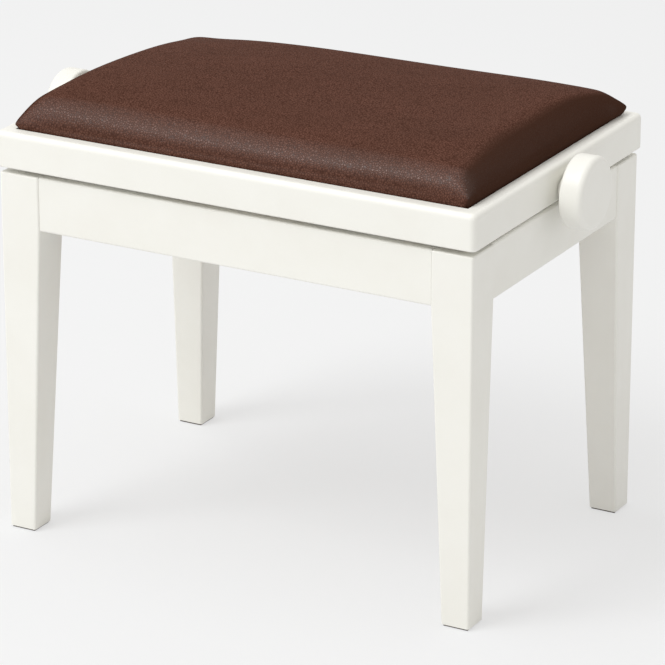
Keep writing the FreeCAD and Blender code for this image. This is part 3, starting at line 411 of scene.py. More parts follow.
def leatherette():
    """Pebbled brown leatherette under a clear film."""
    constants = {"Specular_IOR_Level": 0.11, "Coat_Roughness": 0.27}
    material, tree, shader = new_finish("brown_leatherette", **constants)
    place = object_place(tree)
    pebble = pebble_print(tree, place)
    normal = add_node(tree, "ShaderNodeNewGeometry").outputs["Normal"]
    lean = add_node(tree, "ShaderNodeSeparateXYZ", {0: normal}).outputs
    tree.links.new(leather_colour_and_end_shade(tree, pebble, lean), shader.inputs["Base Color"])
    facing = add_node(tree, "ShaderNodeLayerWeight", {"Blend": 0.5}).outputs["Facing"]
    slant = spread(tree, facing, *SLANT, *SLANT_ROUGHNESS)
    crease = spread(tree, pebble, *CREASE_SHINE, CREASE_ROUGHNESS, 0.0)
    tree.links.new(arithmetic(tree, "ADD", slant, crease), shader.inputs["Roughness"])
    pores = noise(tree, place, PORE_SCALE, detail=2.0)["Fac"]
    height = arithmetic(tree, "MULTIPLY_ADD", pores, PORE_SHARE)
    tree.links.new(pebble, height.node.inputs[2])
    raise_surface(tree, shader, height, BASE_RELIEF, BASE_STRENGTH)
    rubbed = spread(tree, lean["Z"], *TOP_LEAN)
    film = arithmetic(tree, "MULTIPLY", spread(tree, facing, *FILM_SLANT, *FILM_WEIGHT), rubbed)
    tree.links.new(film, shader.inputs["Coat Weight"])
    glint = add_node(tree, "ShaderNodeBump", {"Height": height, "Distance": FILM_RELIEF})
    tree.links.new(glint.outputs["Normal"], shader.inputs["Coat Normal"])
    return material


# %% [markdown]
# What hides under the seat has plainer finishes. The pads under the feet are pressed felt, so their
# colour flecks from fibre to fibre and they shine hardly at all. The seat board is plywood, with
# long streaks of grain, made by stretching noise along the board.

# %% Felt and wood
FELT_PALE, FELT_DARK = (0.085, 0.055, 0.036), (0.045, 0.028, 0.018)
FIBRE_SIZE, FELT_RELIEF = 0.0012, 0.0005
WOOD_PALE, WOOD_TAN, WOOD_STREAK = (0.66, 0.49, 0.31), (0.58, 0.41, 0.245), (0.43, 0.275, 0.145)
WOOD_PATCH, WOOD_STRETCH = 0.12, (7.0, 130.0, 130.0)
STREAK_TONE, STREAK_RANGE, WOOD_ROUGHNESS = (0.44, 0.68), (0.3, 0.7), (0.55, 0.75)
WOOD_RELIEF, WOOD_STRENGTH = 0.0002, 0.6


def felt():
    """Flecked brown felt."""
    material, tree, shader = new_finish("pressed_felt", Roughness=0.95, Sheen_Weight=0.3)
    drift = drifting(tree, FELT_PALE, FELT_DARK, FIBRE_SIZE)
    tree.links.new(drift["Colour"], shader.inputs["Base Color"])
    raise_surface(tree, shader, drift["Mask"], FELT_RELIEF)
    return material


def bare_wood():
    """Unpainted plywood with streaks along its length."""
    material, tree, shader = new_finish("bare_plywood", Specular_IOR_Level=0.3)
    streaks = place_group(tree, drawn_lines, Stretch=WOOD_STRETCH)["Height"]
    drift = drifting(tree, WOOD_PALE, WOOD_TAN, WOOD_PATCH)["Colour"]
    grain = mix_colours(tree, spread(tree, streaks, *STREAK_TONE), drift, WOOD_STREAK)
    tree.links.new(grain, shader.inputs["Base Color"])
    rough = spread(tree, streaks, *STREAK_RANGE, *WOOD_ROUGHNESS)
    tree.links.new(rough, shader.inputs["Roughness"])
    raise_surface(tree, shader, streaks, WOOD_RELIEF, WOOD_STRENGTH)
    return material


# %% [markdown]
# The lift is pressed from zinc-plated steel, which is grey with a faint cloudy spangle and the
# lines of the rolling mill. The nut and the bushes are turned brass. The rollers are moulded nylon.

# %% Metals and nylon
LINE_RANGE, LINE_RELIEF, LINE_STRENGTH = (0.3, 0.7), 0.00005, 0.5
NYLON_PALE, NYLON_DULL, NYLON_PATCH = (0.76, 0.75, 0.70), (0.70, 0.69, 0.63), 0.01
NYLON_ROUGHNESS = (0.42, 0.55)
NYLON_BUMP, NYLON_RELIEF = 0.0012, 0.00006


def plated(name, first, second, patch, stretch, roughness):
    """A metal with cloudy tones and fine drawn lines."""
    material, tree, shader = new_finish(name, Metallic=1.0)
    drift = drifting(tree, first, second, patch)["Colour"]
    lines = place_group(tree, drawn_lines, Stretch=stretch)["Height"]
    tree.links.new(drift, shader.inputs["Base Color"])
    rough = spread(tree, lines, *LINE_RANGE, *roughness)
    tree.links.new(rough, shader.inputs["Roughness"])
    raise_surface(tree, shader, lines, LINE_RELIEF, LINE_STRENGTH)
    return material


def zinc_steel():
    """Grey plating with lines along the sheet."""
    return plated(
        "zinc_plated_steel",
        first=(0.62, 0.63, 0.66),
        second=(0.54, 0.545, 0.55),
        patch=0.012,
        stretch=(25, 1100, 1100),
        roughness=(0.26, 0.44),
    )


def brass():
    """Yellow metal with lines round the turned axis."""
    return plated(
        "turned_brass",
        first=(0.80, 0.62, 0.33),
        second=(0.70, 0.51, 0.25),
        patch=0.009,
        stretch=(1500, 90, 90),
        roughness=(0.22, 0.40),
    )


def nylon():
    """Off-white plastic with a fine moulded skin."""
    material, tree, shader = new_finish("moulded_nylon", Specular_IOR_Level=0.45)
    drift = drifting(tree, NYLON_PALE, NYLON_DULL, NYLON_PATCH)
    tree.links.new(drift["Colour"], shader.inputs["Base Color"])
    rough = spread(tree, drift["Mask"], 0.0, 1.0, *NYLON_ROUGHNESS)
    tree.links.new(rough, shader.inputs["Roughness"])
    skin = place_group(tree, fine_relief, Bump_size=NYLON_BUMP)["Height"]
    raise_surface(tree, shader, skin, NYLON_RELIEF)
    return material


# %% [markdown]
# The record says which finish each piece has, so the pieces are dressed by that list and not one by
# one. The foam has no finish of its own, because it is always under the cover.

# %% Dress the frame
finishes = {
    "white_paint": white_paint(),
    "leatherette": leatherette(),
    "felt": felt(),
    "bare_wood": bare_wood(),
    "zinc_steel": zinc_steel(),
    "brass": brass(),
    "nylon": nylon(),
}
finish_count = len(finishes)
finishes["foam"] = finishes["leatherette"]
subparts = frame["record"]["subparts"]
for subpart in subparts:
    for material_slot in frame["nodes"][subpart["node"]].material_slots:
        material_slot.material = finishes[subpart["material_slot"]]
print("dressed", len(subparts), "pieces in", finish_count, "finishes")

# %% [markdown]
# The cushion is a foam block under a stretched cover, tucked inside the frame's rim. It stands
# nearly upright along the rim, turns over in a tight shoulder and crowns gently to the middle. A
# remeshed block would lose that tight shoulder, so the cover is laid out as a sheet of faces that
# lie close together near the edge. It starts a little too flat and too small.
# No two corners are alike. Each has its own height for the upright side and its own fullness, the
# power by which the fall to the end and the fall to the side are added up. A higher power leaves
# more of the corner standing.

# %% Lay out the cover
RIM_PLAY, TUCK_PLAY, FLATNESS = 0.0006, 0.0008, 0.001
cover_low, cover_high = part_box("leather_cover")
RIM_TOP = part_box("seat_rail_front")[1].z
HALF_LENGTH = cover_high.x
HALF_WIDTH = cover_high.y - RIM_PLAY
TUCK_BOTTOM = cover_low.z + TUCK_PLAY
START_CROWN = cover_high.z - RIM_TOP - FLATNESS
CORNER_ROUND = 0.006
SIDE_RISES = {"front_left": 0.006, "front_right": 0.011, "rear_left": 0.003, "rear_right": 0.011}
FULLNESS = {"front_left": 3.0, "front_right": 2.2, "rear_left": 1.4, "rear_right": 3.0}
END_SHOULDER, END_TILT = 0.036, math.radians(0.3)
FRONT_SHOULDER, FRONT_TILT = 0.027, math.radians(4.5)
REAR_SHOULDER, REAR_TILT = 0.026, math.radians(9.5)
MARGIN, FINE_CELLS, COARSE_STEP = 0.038, 14, 0.0075


def graded(half):
    """Places from minus half to half that lie close together at both ends."""
    turn = np.linspace(0, math.pi / 2, FINE_CELLS + 1)
    margin = MARGIN * (1 - np.cos(turn))
    count = round(2 * (half - MARGIN) / COARSE_STEP)
    middle = np.linspace(MARGIN - half, half - MARGIN, count + 1)[1:-1]
    return np.concatenate([margin - half, middle, half - margin[::-1]])


def dome(place, half, shoulder, tilt):
    """Height from 0 at the edge to 1 in the middle: a round shoulder, then a crown."""
    inset = half - np.abs(place)
    turned = shoulder * (1 - math.sin(tilt))
    arc = np.sqrt(np.clip(shoulder ** 2 - np.clip(shoulder - inset, 0, None) ** 2, 0, None))
    onward = np.clip(inset - turned, 0, None)
    rise = shoulder * math.cos(tilt)
    crown = rise + math.tan(tilt) * (onward - onward ** 2 / (2 * (half - turned)))
    top = rise + math.tan(tilt) * (half - turned) / 2
    return np.where(inset < turned, arc, crown) / top


def rounded_corner(x, y):
    """Pulls the corner of a rectangle in to a quarter circle."""
    over_x = np.clip(np.abs(x) - HALF_LENGTH + CORNER_ROUND, 0, None) / CORNER_ROUND
    over_y = np.clip(np.abs(y) - HALF_WIDTH + CORNER_ROUND, 0, None) / CORNER_ROUND
    pull_x = CORNER_ROUND * (over_x - over_x * np.sqrt(1 - over_y ** 2 / 2))
    pull_y = CORNER_ROUND * (over_y - over_y * np.sqrt(1 - over_x ** 2 / 2))
    return x - np.sign(x) * pull_x, y - np.sign(y) * pull_y


def between_corners(x, y, corners):
    """A value that is blended over the cushion from its values at the four corners."""
    from_left = (x / HALF_LENGTH + 1) / 2
    from_front = (y / HALF_WIDTH + 1) / 2
    in_front = corners["front_left"] + (corners["front_right"] - corners["front_left"]) * from_left
    at_rear = corners["rear_left"] + (corners["rear_right"] - corners["rear_left"]) * from_left
    return in_front + (at_rear - in_front) * from_front


columns = graded(HALF_LENGTH)
rows = graded(HALF_WIDTH)
flat_x, flat_y = np.meshgrid(columns, rows, indexing="ij")
end_dome = dome(flat_x, HALF_LENGTH, END_SHOULDER, END_TILT)
front_dome = dome(flat_y, HALF_WIDTH, FRONT_SHOULDER, FRONT_TILT)
rear_dome = dome(flat_y, HALF_WIDTH, REAR_SHOULDER, REAR_TILT)
fall_to_end = np.clip(1 - end_dome, 0, None)
fall_to_side = np.clip(1 - np.where(flat_y < 0, front_dome, rear_dome), 0, None)
power = between_corners(flat_x, flat_y, FULLNESS)
fall = (fall_to_end ** power + fall_to_side ** power) ** (1 / power)
sides = between_corners(flat_x, flat_y, SIDE_RISES)
sheet_x, sheet_y = rounded_corner(flat_x, flat_y)
sheet_z = RIM_TOP + sides + (START_CROWN - sides) * np.clip(1 - fall, 0, None)
print("cover sheet", len(columns), "by", len(rows), "points")

# %% [markdown]
# Below the shoulder the cover goes down inside the rim, where staples hold it under the board. Six
# more rings of points carry the sheet down there: four on the upright side and two in the tuck. The
# rings are pinned, so the simulation moves only the sheet, which is free to swell.

# %% Build the cover
SIDE_FOOT = RIM_TOP + 0.0010
SIDE_SHARES = (0.75, 0.5, 0.25, 0.0)
TUCK_HEIGHTS = [RIM_TOP - 0.0012, TUCK_BOTTOM]
RING_DRAWS = (0.0001, 0.0002, 0.0004, 0.0007, 0.0009, 0.0012)
EDGE_SHARE = 0.95


def edge_ring(count_x, count_y):
    """Numbers of the sheet's edge points, in order round the edge, seen from above."""
    front_row = [i * count_y for i in range(count_x)]
    right_row = [(count_x - 1) * count_y + j for j in range(1, count_y)]
    rear_row = [i * count_y + count_y - 1 for i in range(count_x - 2, -1, -1)]
    left_row = list(range(count_y - 2, 0, -1))
    return front_row + right_row + rear_row + left_row


def cover_mesh():
    """The sheet with its tucked sides, as points and faces."""
    count_x, count_y = flat_x.shape
    points = np.stack([sheet_x, sheet_y, sheet_z], axis=-1).reshape(-1, 3)
    faces = []
    for i in range(count_x - 1):
        for j in range(count_y - 1):
            first = i * count_y + j
            faces.append((first, first + count_y, first + count_y + 1, first + 1))
    ring = edge_ring(count_x, count_y)
    outward = points[ring, :2] / np.array([HALF_LENGTH, HALF_WIDTH])
    heights = [SIDE_FOOT + share * (points[ring, 2] - SIDE_FOOT) for share in SIDE_SHARES]
    above = ring
    for height, draw in zip(heights + TUCK_HEIGHTS, RING_DRAWS):
        start = len(points)
        lower = points[ring].copy()
        lower[:, :2] -= np.sign(outward) * draw * (np.abs(outward) > EDGE_SHARE)
        lower[:, 2] = height
        points = np.concatenate([points, lower])
        below = list(range(start, start + len(ring)))
        for k in range(len(ring)):
            after = (k + 1) % len(ring)
            faces.append((below[k], below[after], above[after], above[k]))
        above = below
    return points, faces


cover_points, cover_faces = cover_mesh()
cushion_mesh = bpy.data.meshes.new("cushion")
cushion_mesh.from_pydata([tuple(point) for point in cover_points], [], cover_faces)
cover_edges = np.array([edge.vertices for edge in cushion_mesh.edges])
cushion = bpy.data.objects.new("cushion", cushion_mesh)
scene.collection.objects.link(cushion)
print("cover", len(cover_points), "points,", len(cover_faces), "faces")

# %% [markdown]
# Foam pushes its cover outwards everywhere, so the cover is blown up a little as a cloth with air
# pressure inside and no gravity. The points' movement is evened out and capped, because a strong
# push would turn the cushion into a balloon.

# %% Swell the cover
PRESSURE = 4.0
STIFFNESS, BENDING = 30, 2
LAST_FRAME = 20
FREE_HEIGHT = RIM_TOP + 0.002
EVENING_PASSES = 200
MOST_MOVEMENT = 0.003
TINY = 1e-9


def swell_cover(piece):
    """Runs the cloth simulation and returns where the points end up."""
    held = piece.vertex_groups.new(name="held")
    held.add(list(range(flat_x.size, len(cover_points))), 1.0, "REPLACE")
    cloth = piece.modifiers.new("cloth", "CLOTH")
    cloth.settings.use_pressure = True
    cloth.settings.uniform_pressure_force = PRESSURE
    cloth.settings.effector_weights.gravity = 0
    cloth.settings.vertex_group_mass = held.name
    cloth.settings.tension_stiffness = STIFFNESS
    cloth.settings.compression_stiffness = STIFFNESS
    cloth.settings.bending_stiffness = BENDING
    cloth.point_cache.frame_end = LAST_FRAME
    for number in range(1, LAST_FRAME + 1):
        scene.frame_set(number)
    moved = piece.evaluated_get(bpy.context.evaluated_depsgraph_get()).to_mesh()
    ends = np.array([vertex.co for vertex in moved.vertices])
    piece.modifiers.remove(cloth)
    piece.vertex_groups.remove(held)
    scene.frame_set(1)
    return ends


def neighbour_mean(values):
    """The mean of each point's neighbours on the cover."""
    count = np.bincount(cover_edges.ravel(), minlength=len(values))[:, None]
    total = np.zeros_like(values)
    np.add.at(total, cover_edges[:, 0], values[cover_edges[:, 1]])
    np.add.at(total, cover_edges[:, 1], values[cover_edges[:, 0]])
    return total / count


def even_out(movement):
    """Averages each point's movement with its neighbours', as firm foam under a cover does."""
    free = (cover_points[:, 2] >= FREE_HEIGHT)[:, None]
    for _ in range(EVENING_PASSES):
        movement = np.where(free, (movement + neighbour_mean(movement)) / 2, 0)
    return movement


swollen = swell_cover(cushion)
movement = even_out(swollen - cover_points)
reach = np.linalg.norm(movement, axis=1, keepdims=True)
movement *= np.minimum(1, MOST_MOVEMENT / np.maximum(reach, TINY))
cushion_points = cover_points + movement
print("cover moved", round(reach.max() * 1000, 2), "mm before the cap")

# %% [markdown]
# A used cushion is never quite even, and a cover is folded at its corners. Soft swellings and
# hollows are listed here, each with its place as a share of the half sizes, its amount and its
# radius. The sides swell out over the rim, two corners more than the rest, and each corner is
# rounded off. Then a narrow fold goes into each corner and fades out on the shoulder.

# %% Unevenness and corner folds
UNEVEN = [
    ((-0.86, -0.80), 0.15, 0.10),
    ((0.84, 0.84), 0.10, 0.10),
    ((-0.95, 0.64), -0.20, 0.10),
    ((-0.88, 0.90), -0.14, 0.04),
    ((0.86, -0.80), 0.08, 0.10),
]
UNEVEN_FOOT = RIM_TOP + 0.003
END_BULGE, SIDE_BULGE = 0.0024, 0.0008
BULGE_START, BULGE_HEIGHT, BULGE_SPREAD = 0.004, 0.010, 0.012
CORNER_BULGES = [((-1, -1), 0.0048), ((1, 1), 0.0108)]
CORNER_START, CORNER_HEIGHT, CORNER_SPREAD = 0.0025, 0.0040, 0.009
CORNER_REACH = 0.030
SOFT_FOOT = RIM_TOP + 0.0015
SOFT_SHARE, SOFT_REACH, SOFT_PASSES = 0.5, 0.016, 30
FOLD_DEPTH, FOLD_WIDTH, FOLD_HEIGHT = 0.0004, 0.0026, 0.022


def uneven(points):
    """Makes the cushion fuller or thinner round a few places, above the rim."""
    share = np.ones(len(points))
    for (share_x, share_y), more, radius in UNEVEN:
        away_x = points[:, 0] - share_x * HALF_LENGTH
        away_y = points[:, 1] - share_y * HALF_WIDTH
        share += more * np.exp(-(away_x ** 2 + away_y ** 2) / radius ** 2)
    points[:, 2] += (share - 1) * np.clip(points[:, 2] - UNEVEN_FOOT, 0, None)
    return points


def belt(climb, start, height, width):
    """A weight that is nothing at the rim, most at a height above it, and fades further up."""
    return np.clip(climb / start, 0, 1) * np.exp(-((climb - height) / width) ** 2)


def bulge(points):
    """Lets the sides swell out over the rim, and some corners further."""
    climb = points[:, 2] - RIM_TOP
    weight = belt(climb, BULGE_START, BULGE_HEIGHT, BULGE_SPREAD)
    points[:, 0] *= 1 + END_BULGE / HALF_LENGTH * weight
    points[:, 1] *= 1 + SIDE_BULGE / HALF_WIDTH * weight
    weight = belt(climb, CORNER_START, CORNER_HEIGHT, CORNER_SPREAD)
    for (side_x, side_y), push in CORNER_BULGES:
        away_x = points[:, 0] - side_x * HALF_LENGTH
        away_y = points[:, 1] - side_y * HALF_WIDTH
        near = np.exp(-(np.hypot(away_x, away_y) / CORNER_REACH) ** 2)
        outward = push * weight * near / math.sqrt(2)
        points[:, 0] += side_x * outward
        points[:, 1] += side_y * outward
    return points


def soften_corners(points):
    """Rounds the corners off above the rim by drawing each point towards its neighbours."""
    away = np.hypot(np.abs(points[:, 0]) - HALF_LENGTH, np.abs(points[:, 1]) - HALF_WIDTH)
    share = SOFT_SHARE * np.exp(-(away / SOFT_REACH) ** 2) * (points[:, 2] > SOFT_FOOT)
    for _ in range(SOFT_PASSES):
        points = points + share[:, None] * (neighbour_mean(points) - points)
    return points


def corner_folds(points):
    """Presses a narrow upright fold into each corner."""
    over_x = np.abs(points[:, 0]) - HALF_LENGTH + CORNER_ROUND
    over_y = np.abs(points[:, 1]) - HALF_WIDTH + CORNER_ROUND
    near = (over_x > -CORNER_ROUND) & (over_y > -CORNER_ROUND)
    across = (over_x - over_y) / math.sqrt(2)
    fade = np.clip(1 - (points[:, 2] - RIM_TOP) / FOLD_HEIGHT, 0, 1)
    depth = FOLD_DEPTH * np.exp(-(across / FOLD_WIDTH) ** 2) * fade * near
    points[:, 0] -= np.sign(points[:, 0]) * depth / math.sqrt(2)
    points[:, 1] -= np.sign(points[:, 1]) * depth / math.sqrt(2)
    return points


cushion_points = corner_folds(soften_corners(bulge(uneven(cushion_points))))
cushion_mesh.vertices.foreach_set("co", cushion_points.ravel())
print("cushion top", round(cushion_points[:, 2].max() * 1000, 1), "mm")

# %% [markdown]
# One subdivision rounds what is left of the facets, and a flat underside closes the form where it
# rests on the board. The finished cushion rides on the seat and stands for the two soft solids.

# %% Finish the cushion
smoother = cushion.modifiers.new("smoother", "SUBSURF")
smoother.levels = 1
smoother.render_levels = 1
graph = bpy.context.evaluated_depsgraph_get()
smooth_mesh = bpy.data.meshes.new_from_object(cushion.evaluated_get(graph))
cushion.modifiers.remove(smoother)
shell = bmesh.new()
shell.from_mesh(smooth_mesh)
open_edges = [edge for edge in shell.edges if edge.is_boundary]
underside = bmesh.ops.edgenet_fill(shell, edges=open_edges)
bmesh.ops.recalc_face_normals(shell, faces=shell.faces)
shell.to_mesh(smooth_mesh)
shell.free()
cushion.data = smooth_mesh
smooth_mesh.name = "cushion"
smooth_mesh.materials.clear()
smooth_mesh.materials.append(finishes["leatherette"])
smooth_mesh.shade_smooth()
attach(cushion, "seat")
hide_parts("leather_cover", "foam_pad")
print("cushion", len(smooth_mesh.polygons), "faces, closed by", len(underside["faces"]))

# %% [markdown]
# Small pan-head screws hold the corner plates, the tracks and the seat board. Their places are
# already in the frame as plain pegs, one island of faces each. The next cell finds every island and
# works out where its head is and which way it points, so that better screws can take its place.

# %% Find the screws
SAME_PLACE = 1e5
HEAD_REACH = 0.9


def islands(mesh):
    """The separate shapes in a mesh of loose triangles, as arrays of points."""
    points = np.array([vertex.co for vertex in mesh.vertices])
    keys = [tuple(key) for key in np.round(points * SAME_PLACE).astype(int)]
    number = {key: index for index, key in enumerate(dict.fromkeys(keys))}
    leader = list(range(len(number)))

    def find(index):
        while leader[index] != index:
            leader[index] = leader[leader[index]]
            index = leader[index]
        return index

    for face in mesh.polygons:
        first, *others = [number[keys[corner]] for corner in face.vertices]
        for other in others:
            leader[find(other)] = find(first)
    groups = {}
    for key, point in zip(keys, points):
        groups.setdefault(find(number[key]), []).append(point)
    return [np.array(group) for group in groups.values()]


def peg_pose(points):
    """Where a peg's head sits, which way it points, and the sizes of its head and shank."""
    lowest, highest = points.min(axis=0), points.max(axis=0)
    axis = int(np.argmax(highest - lowest))
    others = [side for side in range(3) if side != axis]
    middle = (lowest + highest) / 2
    radii = np.linalg.norm(points[:, others] - middle[others], axis=1)
    head = points[radii > radii.max() * HEAD_REACH][:, axis]
    way = np.zeros(3)
    way[axis] = 1 if head.mean() > middle[axis] else -1
    seat = middle.copy()
    seat[axis] = head.min() if way[axis] > 0 else head.max()
    far_end = lowest[axis] if way[axis] > 0 else highest[axis]
    return {
        "seat": seat,
        "way": way,
        "depth": float(abs(seat[axis] - far_end)),
        "head_radius": float(radii.max()),
        "head_height": float(head.max() - head.min()),
    }


screw_nodes = {
    "base": ["plate_screws", "lower_track_screws"],
    "seat": ["board_screws", "upper_track_screws"],
}
screw_poses = {
    node: [peg_pose(points) for points in islands(frame["nodes"][node].data)]
    for nodes in screw_nodes.values()
    for node in nodes
}
print({node: len(poses) for node, poses in screw_poses.items()}, "screws")

# %% [markdown]
# Screws and rods are profiles spun round an axis. Geometry Nodes can spin a profile by sweeping it
# along a tiny circle, so the helpers below draw a profile, spin it, move it and hand it out.

# %% Tree helpers
SPIN_RADIUS = 0.0005
SPIN_STEPS = 24
WELD = 1e-6


def new_tree(name, sizes):
    """A Geometry Nodes tree with named size inputs and a material input."""
    tree = bpy.data.node_groups.new(name, "GeometryNodeTree")
    tree.interface.new_socket("Geometry", in_out="INPUT", socket_type="NodeSocketGeometry")
    for label in sizes:
        tree.interface.new_socket(label, in_out="INPUT", socket_type="NodeSocketFloat")
    tree.interface.new_socket("Material", in_out="INPUT", socket_type="NodeSocketMaterial")
    tree.interface.new_socket("Geometry", in_out="OUTPUT", socket_type="NodeSocketGeometry")
    given = tree.nodes.new("NodeGroupInput").outputs
    made = tree.nodes.new("NodeGroupOutput").inputs
    return tree, given, made


def times(tree, size, share):
    """A share of a size."""
    return arithmetic(tree, "MULTIPLY", size, share)


def profile_point(tree, radius, height):
    """A point of a profile that is spun: x leads away from the axis and y leads down."""
    outward = arithmetic(tree, "SUBTRACT", radius, SPIN_RADIUS)
    inputs = {"X": outward, "Y": times(tree, height, -1.0)}
    return add_node(tree, "ShaderNodeCombineXYZ", inputs).outputs[0]


def profile_lines(tree, corners):
    """The straight stretches of a profile whose corners are pairs of radius and height."""
    lines = []
    for first, second in zip(corners, corners[1:]):
        inputs = {"Start": profile_point(tree, *first), "End": profile_point(tree, *second)}
        lines.append(add_node(tree, "GeometryNodeCurvePrimitiveLine", inputs).outputs[0])
    return lines


def joined(tree, parts):
    """Several geometries as one."""
    join = tree.nodes.new("GeometryNodeJoinGeometry")
    for part in parts:
        tree.links.new(part, join.inputs[0])
    return join.outputs[0]


def spun(tree, stretches):
    """The solid that a profile makes when it is spun round the axis."""
    circle = {"Radius": SPIN_RADIUS, "Resolution": SPIN_STEPS}
    path = add_node(tree, "GeometryNodeCurvePrimitiveCircle", circle).outputs[0]
    sweep = {"Curve": path, "Profile Curve": joined(tree, stretches)}
    skin = add_node(tree, "GeometryNodeCurveToMesh", sweep).outputs[0]
    weld = {"Geometry": skin, "Distance": WELD}
    return add_node(tree, "GeometryNodeMergeByDistance", weld).outputs[0]


def raised(tree, geometry, height):
    """A geometry that is moved up its axis."""
    lift = add_node(tree, "ShaderNodeCombineXYZ", {"Z": height}).outputs[0]
    inputs = {"Geometry": geometry, "Translation": lift}
    return add_node(tree, "GeometryNodeTransform", inputs).outputs[0]


def hand_out(tree, geometry, material, made):
    """Makes copies real, gives the result its material and puts it out of the tree."""
    real = add_node(tree, "GeometryNodeRealizeInstances", {"Geometry": geometry}).outputs[0]
    inputs = {"Geometry": real, "Material": material}
    dressed = add_node(tree, "GeometryNodeSetMaterial", inputs).outputs[0]
    tree.links.new(dressed, made["Geometry"])


# %% [markdown]
# One screw has a pointed shank, a flat seat and a domed head. Two bars cut the cross recess, and
# then a copy goes on every point of a mesh, turned the way that the point says.

# %% Screw tree
SKIRT_SHARE, CREST_SHARE, DOME_STEPS = 0.35, 0.88, 6
RECESS_LENGTH, RECESS_WIDTH, RECESS_LIFT = 1.15, 0.26, 0.95


def screw_body(tree, head, tall, shank, length):
    """A shank with a pointed end and a domed head, before its recess is cut."""
    tip = times(tree, length, -1.0)
    shoulder = arithmetic(tree, "ADD", tip, shank)
    skirt = times(tree, tall, SKIRT_SHARE)
    dome_inputs = {
        "Start": profile_point(tree, head, skirt),
        "Middle": profile_point(tree, times(tree, head, CREST_SHARE), tall),
        "End": profile_point(tree, 0.0, tall),
        "Resolution": DOME_STEPS,
    }
    dome_curve = add_node(tree, "GeometryNodeCurveQuadraticBezier", dome_inputs).outputs[0]
    corners = [(0.0, tip), (shank, shoulder), (shank, 0.0), (head, 0.0), (head, skirt)]
    return spun(tree, profile_lines(tree, corners) + [dome_curve])


def screw_tree():
    """A pan-head screw on every point of a mesh, turned the way that the point says."""
    labels = ["Head radius", "Head height", "Shank radius", "Shank length"]
    tree, given, made = new_tree("pan_screw", labels)
    head, tall = given["Head radius"], given["Head height"]
    body = screw_body(tree, head, tall, given["Shank radius"], given["Shank length"])
    long_side = times(tree, head, RECESS_LENGTH)
    short_side = times(tree, head, RECESS_WIDTH)
    cut = add_node(tree, "GeometryNodeMeshBoolean", {"Mesh 1": body}, operation="DIFFERENCE")
    for side_x, side_y in ((long_side, short_side), (short_side, long_side)):
        sides = {"X": side_x, "Y": side_y, "Z": tall}
        bar_size = add_node(tree, "ShaderNodeCombineXYZ", sides).outputs[0]
        bar = add_node(tree, "GeometryNodeMeshCube", {"Size": bar_size}).outputs[0]
        placed = raised(tree, bar, times(tree, tall, RECESS_LIFT))
        tree.links.new(placed, cut.inputs["Mesh 2"])
    attribute = "GeometryNodeInputNamedAttribute"
    way = add_node(tree, attribute, {"Name": "way"}, data_type="FLOAT_VECTOR").outputs[0]
    turn = add_node(tree, "FunctionNodeAlignRotationToVector", {"Vector": way}, axis="Z").outputs[0]
    spots = {"Points": given["Geometry"], "Instance": cut.outputs[0], "Rotation": turn}
    copies = add_node(tree, "GeometryNodeInstanceOnPoints", spots).outputs[0]
    hand_out(tree, copies, given["Material"], made)
    return tree


pan_screw = screw_tree()
print("screw tree", len(pan_screw.nodes), "nodes")

# %% [markdown]
# A tree works on an object through a modifier. The sizes go in by each socket's identifier, then
# the evaluated result is copied to a plain mesh, because a finished piece should not depend on a
# modifier. Each group of screws becomes one piece that rides where the pegs rode.

# %% Place the screws
SHANK_SHARE = 0.66


def run_tree(name, tree, start_mesh, sizes):
    """Runs a tree over a mesh and returns a new object with the plain result."""
    holder = bpy.data.objects.new(name + "_start", start_mesh)
    scene.collection.objects.link(holder)
    modifier = holder.modifiers.new("tree", "NODES")
    modifier.node_group = tree
    for item in tree.interface.items_tree:
        if item.in_out == "INPUT" and item.name in sizes:
            modifier[item.identifier] = sizes[item.name]
    evaluated = holder.evaluated_get(bpy.context.evaluated_depsgraph_get())
    result = bpy.data.meshes.new_from_object(evaluated)
    holder.modifiers.remove(modifier)
    bpy.data.objects.remove(holder)
    result.name = name
    piece = bpy.data.objects.new(name, result)
    scene.collection.objects.link(piece)
    return piece


def screw_piece(node, poses):
    """Pan-head screws in place of one group of pegs."""
    start = bpy.data.meshes.new(node + "_places")
    start.from_pydata([tuple(pose["seat"]) for pose in poses], [], [])
    way_values = np.array([pose["way"] for pose in poses], dtype=np.float32)
    ways = start.attributes.new("way", "FLOAT_VECTOR", "POINT")
    ways.data.foreach_set("vector", way_values.ravel())
    screw_sizes = {
        "Head radius": poses[0]["head_radius"],
        "Head height": poses[0]["head_height"],
        "Shank radius": poses[0]["head_radius"] * SHANK_SHARE,
        "Shank length": poses[0]["depth"],
        "Material": finishes["zinc_steel"],
    }
    return run_tree(node.replace("screws", "pan_screws"), pan_screw, start, screw_sizes)


for body, nodes in screw_nodes.items():
    for node in nodes:
        piece = screw_piece(node, screw_poses[node])
        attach(piece, body)
        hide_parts(node)
        print(piece.name, len(piece.data.polygons), "faces")

# %% [markdown]
# The spindle is a rod with a screw thread that drives the nut along. The frame has it as a plain
# rod with a narrow groove at each end of the thread. A bump could draw the thread, but its outline
# would stay straight, so a ridge is swept along a helix round a thinner core.

# %% Threaded spindle
rod_low, rod_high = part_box("spindle")
AXIS_HEIGHT = (rod_low.z + rod_high.z) / 2
ROD_RADIUS = (rod_high.z - rod_low.z) / 2
ROD_END = rod_high.x
THREAD_START, THREAD_END, THREAD_PITCH = 0.140, 0.225, 0.004
RELIEF, ROOT_RADIUS = 0.003, 0.0042
RIDGE_MIDDLE, RIDGE_HEIGHT, RIDGE_FOOT, RIDGE_CREST = 0.4, 1.2, 0.66, 0.34
HELIX_STEPS = 28


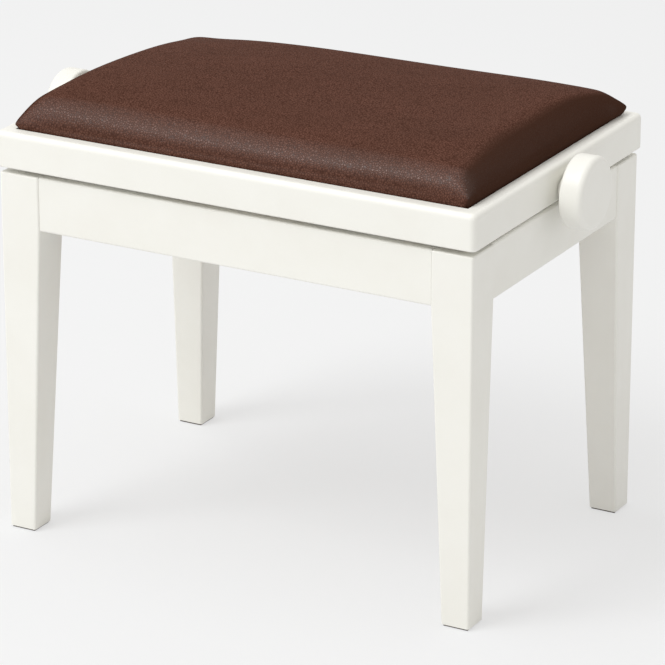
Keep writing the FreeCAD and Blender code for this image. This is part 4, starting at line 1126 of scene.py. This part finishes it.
def rod_core(tree, given):
    """The rod, thinner along the thread and its two grooves."""
    radius, root, end = given["Radius"], given["Root"], given["End"]
    start = times(tree, end, -1.0)
    groove_in = arithmetic(tree, "SUBTRACT", given["Start of thread"], RELIEF)
    groove_out = arithmetic(tree, "ADD", given["End of thread"], RELIEF)
    corners = [
        (0.0, start),
        (radius, start),
        (radius, groove_in),
        (root, groove_in),
        (root, groove_out),
        (radius, groove_out),
        (radius, end),
        (0.0, end),
    ]
    return spun(tree, profile_lines(tree, corners))


def thread_ridge(tree, given):
    """A ridge with sloping flanks, swept along a helix."""
    length = arithmetic(tree, "SUBTRACT", given["End of thread"], given["Start of thread"])
    depth = arithmetic(tree, "SUBTRACT", given["Radius"], given["Root"])
    middle = arithmetic(tree, "ADD", given["Root"], times(tree, depth, RIDGE_MIDDLE))
    helix_inputs = {
        "Resolution": HELIX_STEPS,
        "Rotations": arithmetic(tree, "DIVIDE", length, given["Pitch"]),
        "Start Radius": middle,
        "End Radius": middle,
        "Height": length,
    }
    helix = add_node(tree, "GeometryNodeCurveSpiral", helix_inputs).outputs[0]
    path = add_node(tree, "GeometryNodeSetCurveNormal", {"Curve": helix}, mode="Z_UP").outputs[0]
    section_inputs = {
        "Height": times(tree, depth, RIDGE_HEIGHT),
        "Bottom Width": times(tree, given["Pitch"], RIDGE_FOOT),
        "Top Width": times(tree, given["Pitch"], RIDGE_CREST),
        "Offset": 0.0,
    }
    shape = "GeometryNodeCurvePrimitiveQuadrilateral"
    section = add_node(tree, shape, section_inputs, mode="TRAPEZOID").outputs[0]
    quarter = {"Geometry": section, "Rotation": (0, 0, -math.pi / 2)}
    turned = add_node(tree, "GeometryNodeTransform", quarter).outputs[0]
    sweep = {"Curve": path, "Profile Curve": turned, "Fill Caps": True}
    ridge = add_node(tree, "GeometryNodeCurveToMesh", sweep).outputs[0]
    return raised(tree, ridge, given["Start of thread"])


def spindle_tree():
    """A rod with a raised thread over part of its length."""
    labels = ["Radius", "Root", "End", "Start of thread", "End of thread", "Pitch"]
    tree, given, made = new_tree("threaded_rod", labels)
    both = joined(tree, [rod_core(tree, given), thread_ridge(tree, given)])
    hand_out(tree, both, given["Material"], made)
    return tree


spindle_sizes = {
    "Radius": ROD_RADIUS,
    "Root": ROOT_RADIUS,
    "End": ROD_END,
    "Start of thread": THREAD_START,
    "End of thread": THREAD_END,
    "Pitch": THREAD_PITCH,
    "Material": finishes["zinc_steel"],
}
spindle_start = bpy.data.meshes.new("spindle_start")
threaded_spindle = run_tree("threaded_spindle", spindle_tree(), spindle_start, spindle_sizes)
lay_down = Matrix.Translation((0, 0, AXIS_HEIGHT)) @ Matrix.Rotation(math.pi / 2, 4, "Y")
threaded_spindle.data.transform(lay_down)
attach(threaded_spindle, "spindle")
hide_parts("spindle")
print("spindle", len(threaded_spindle.data.polygons), "faces")
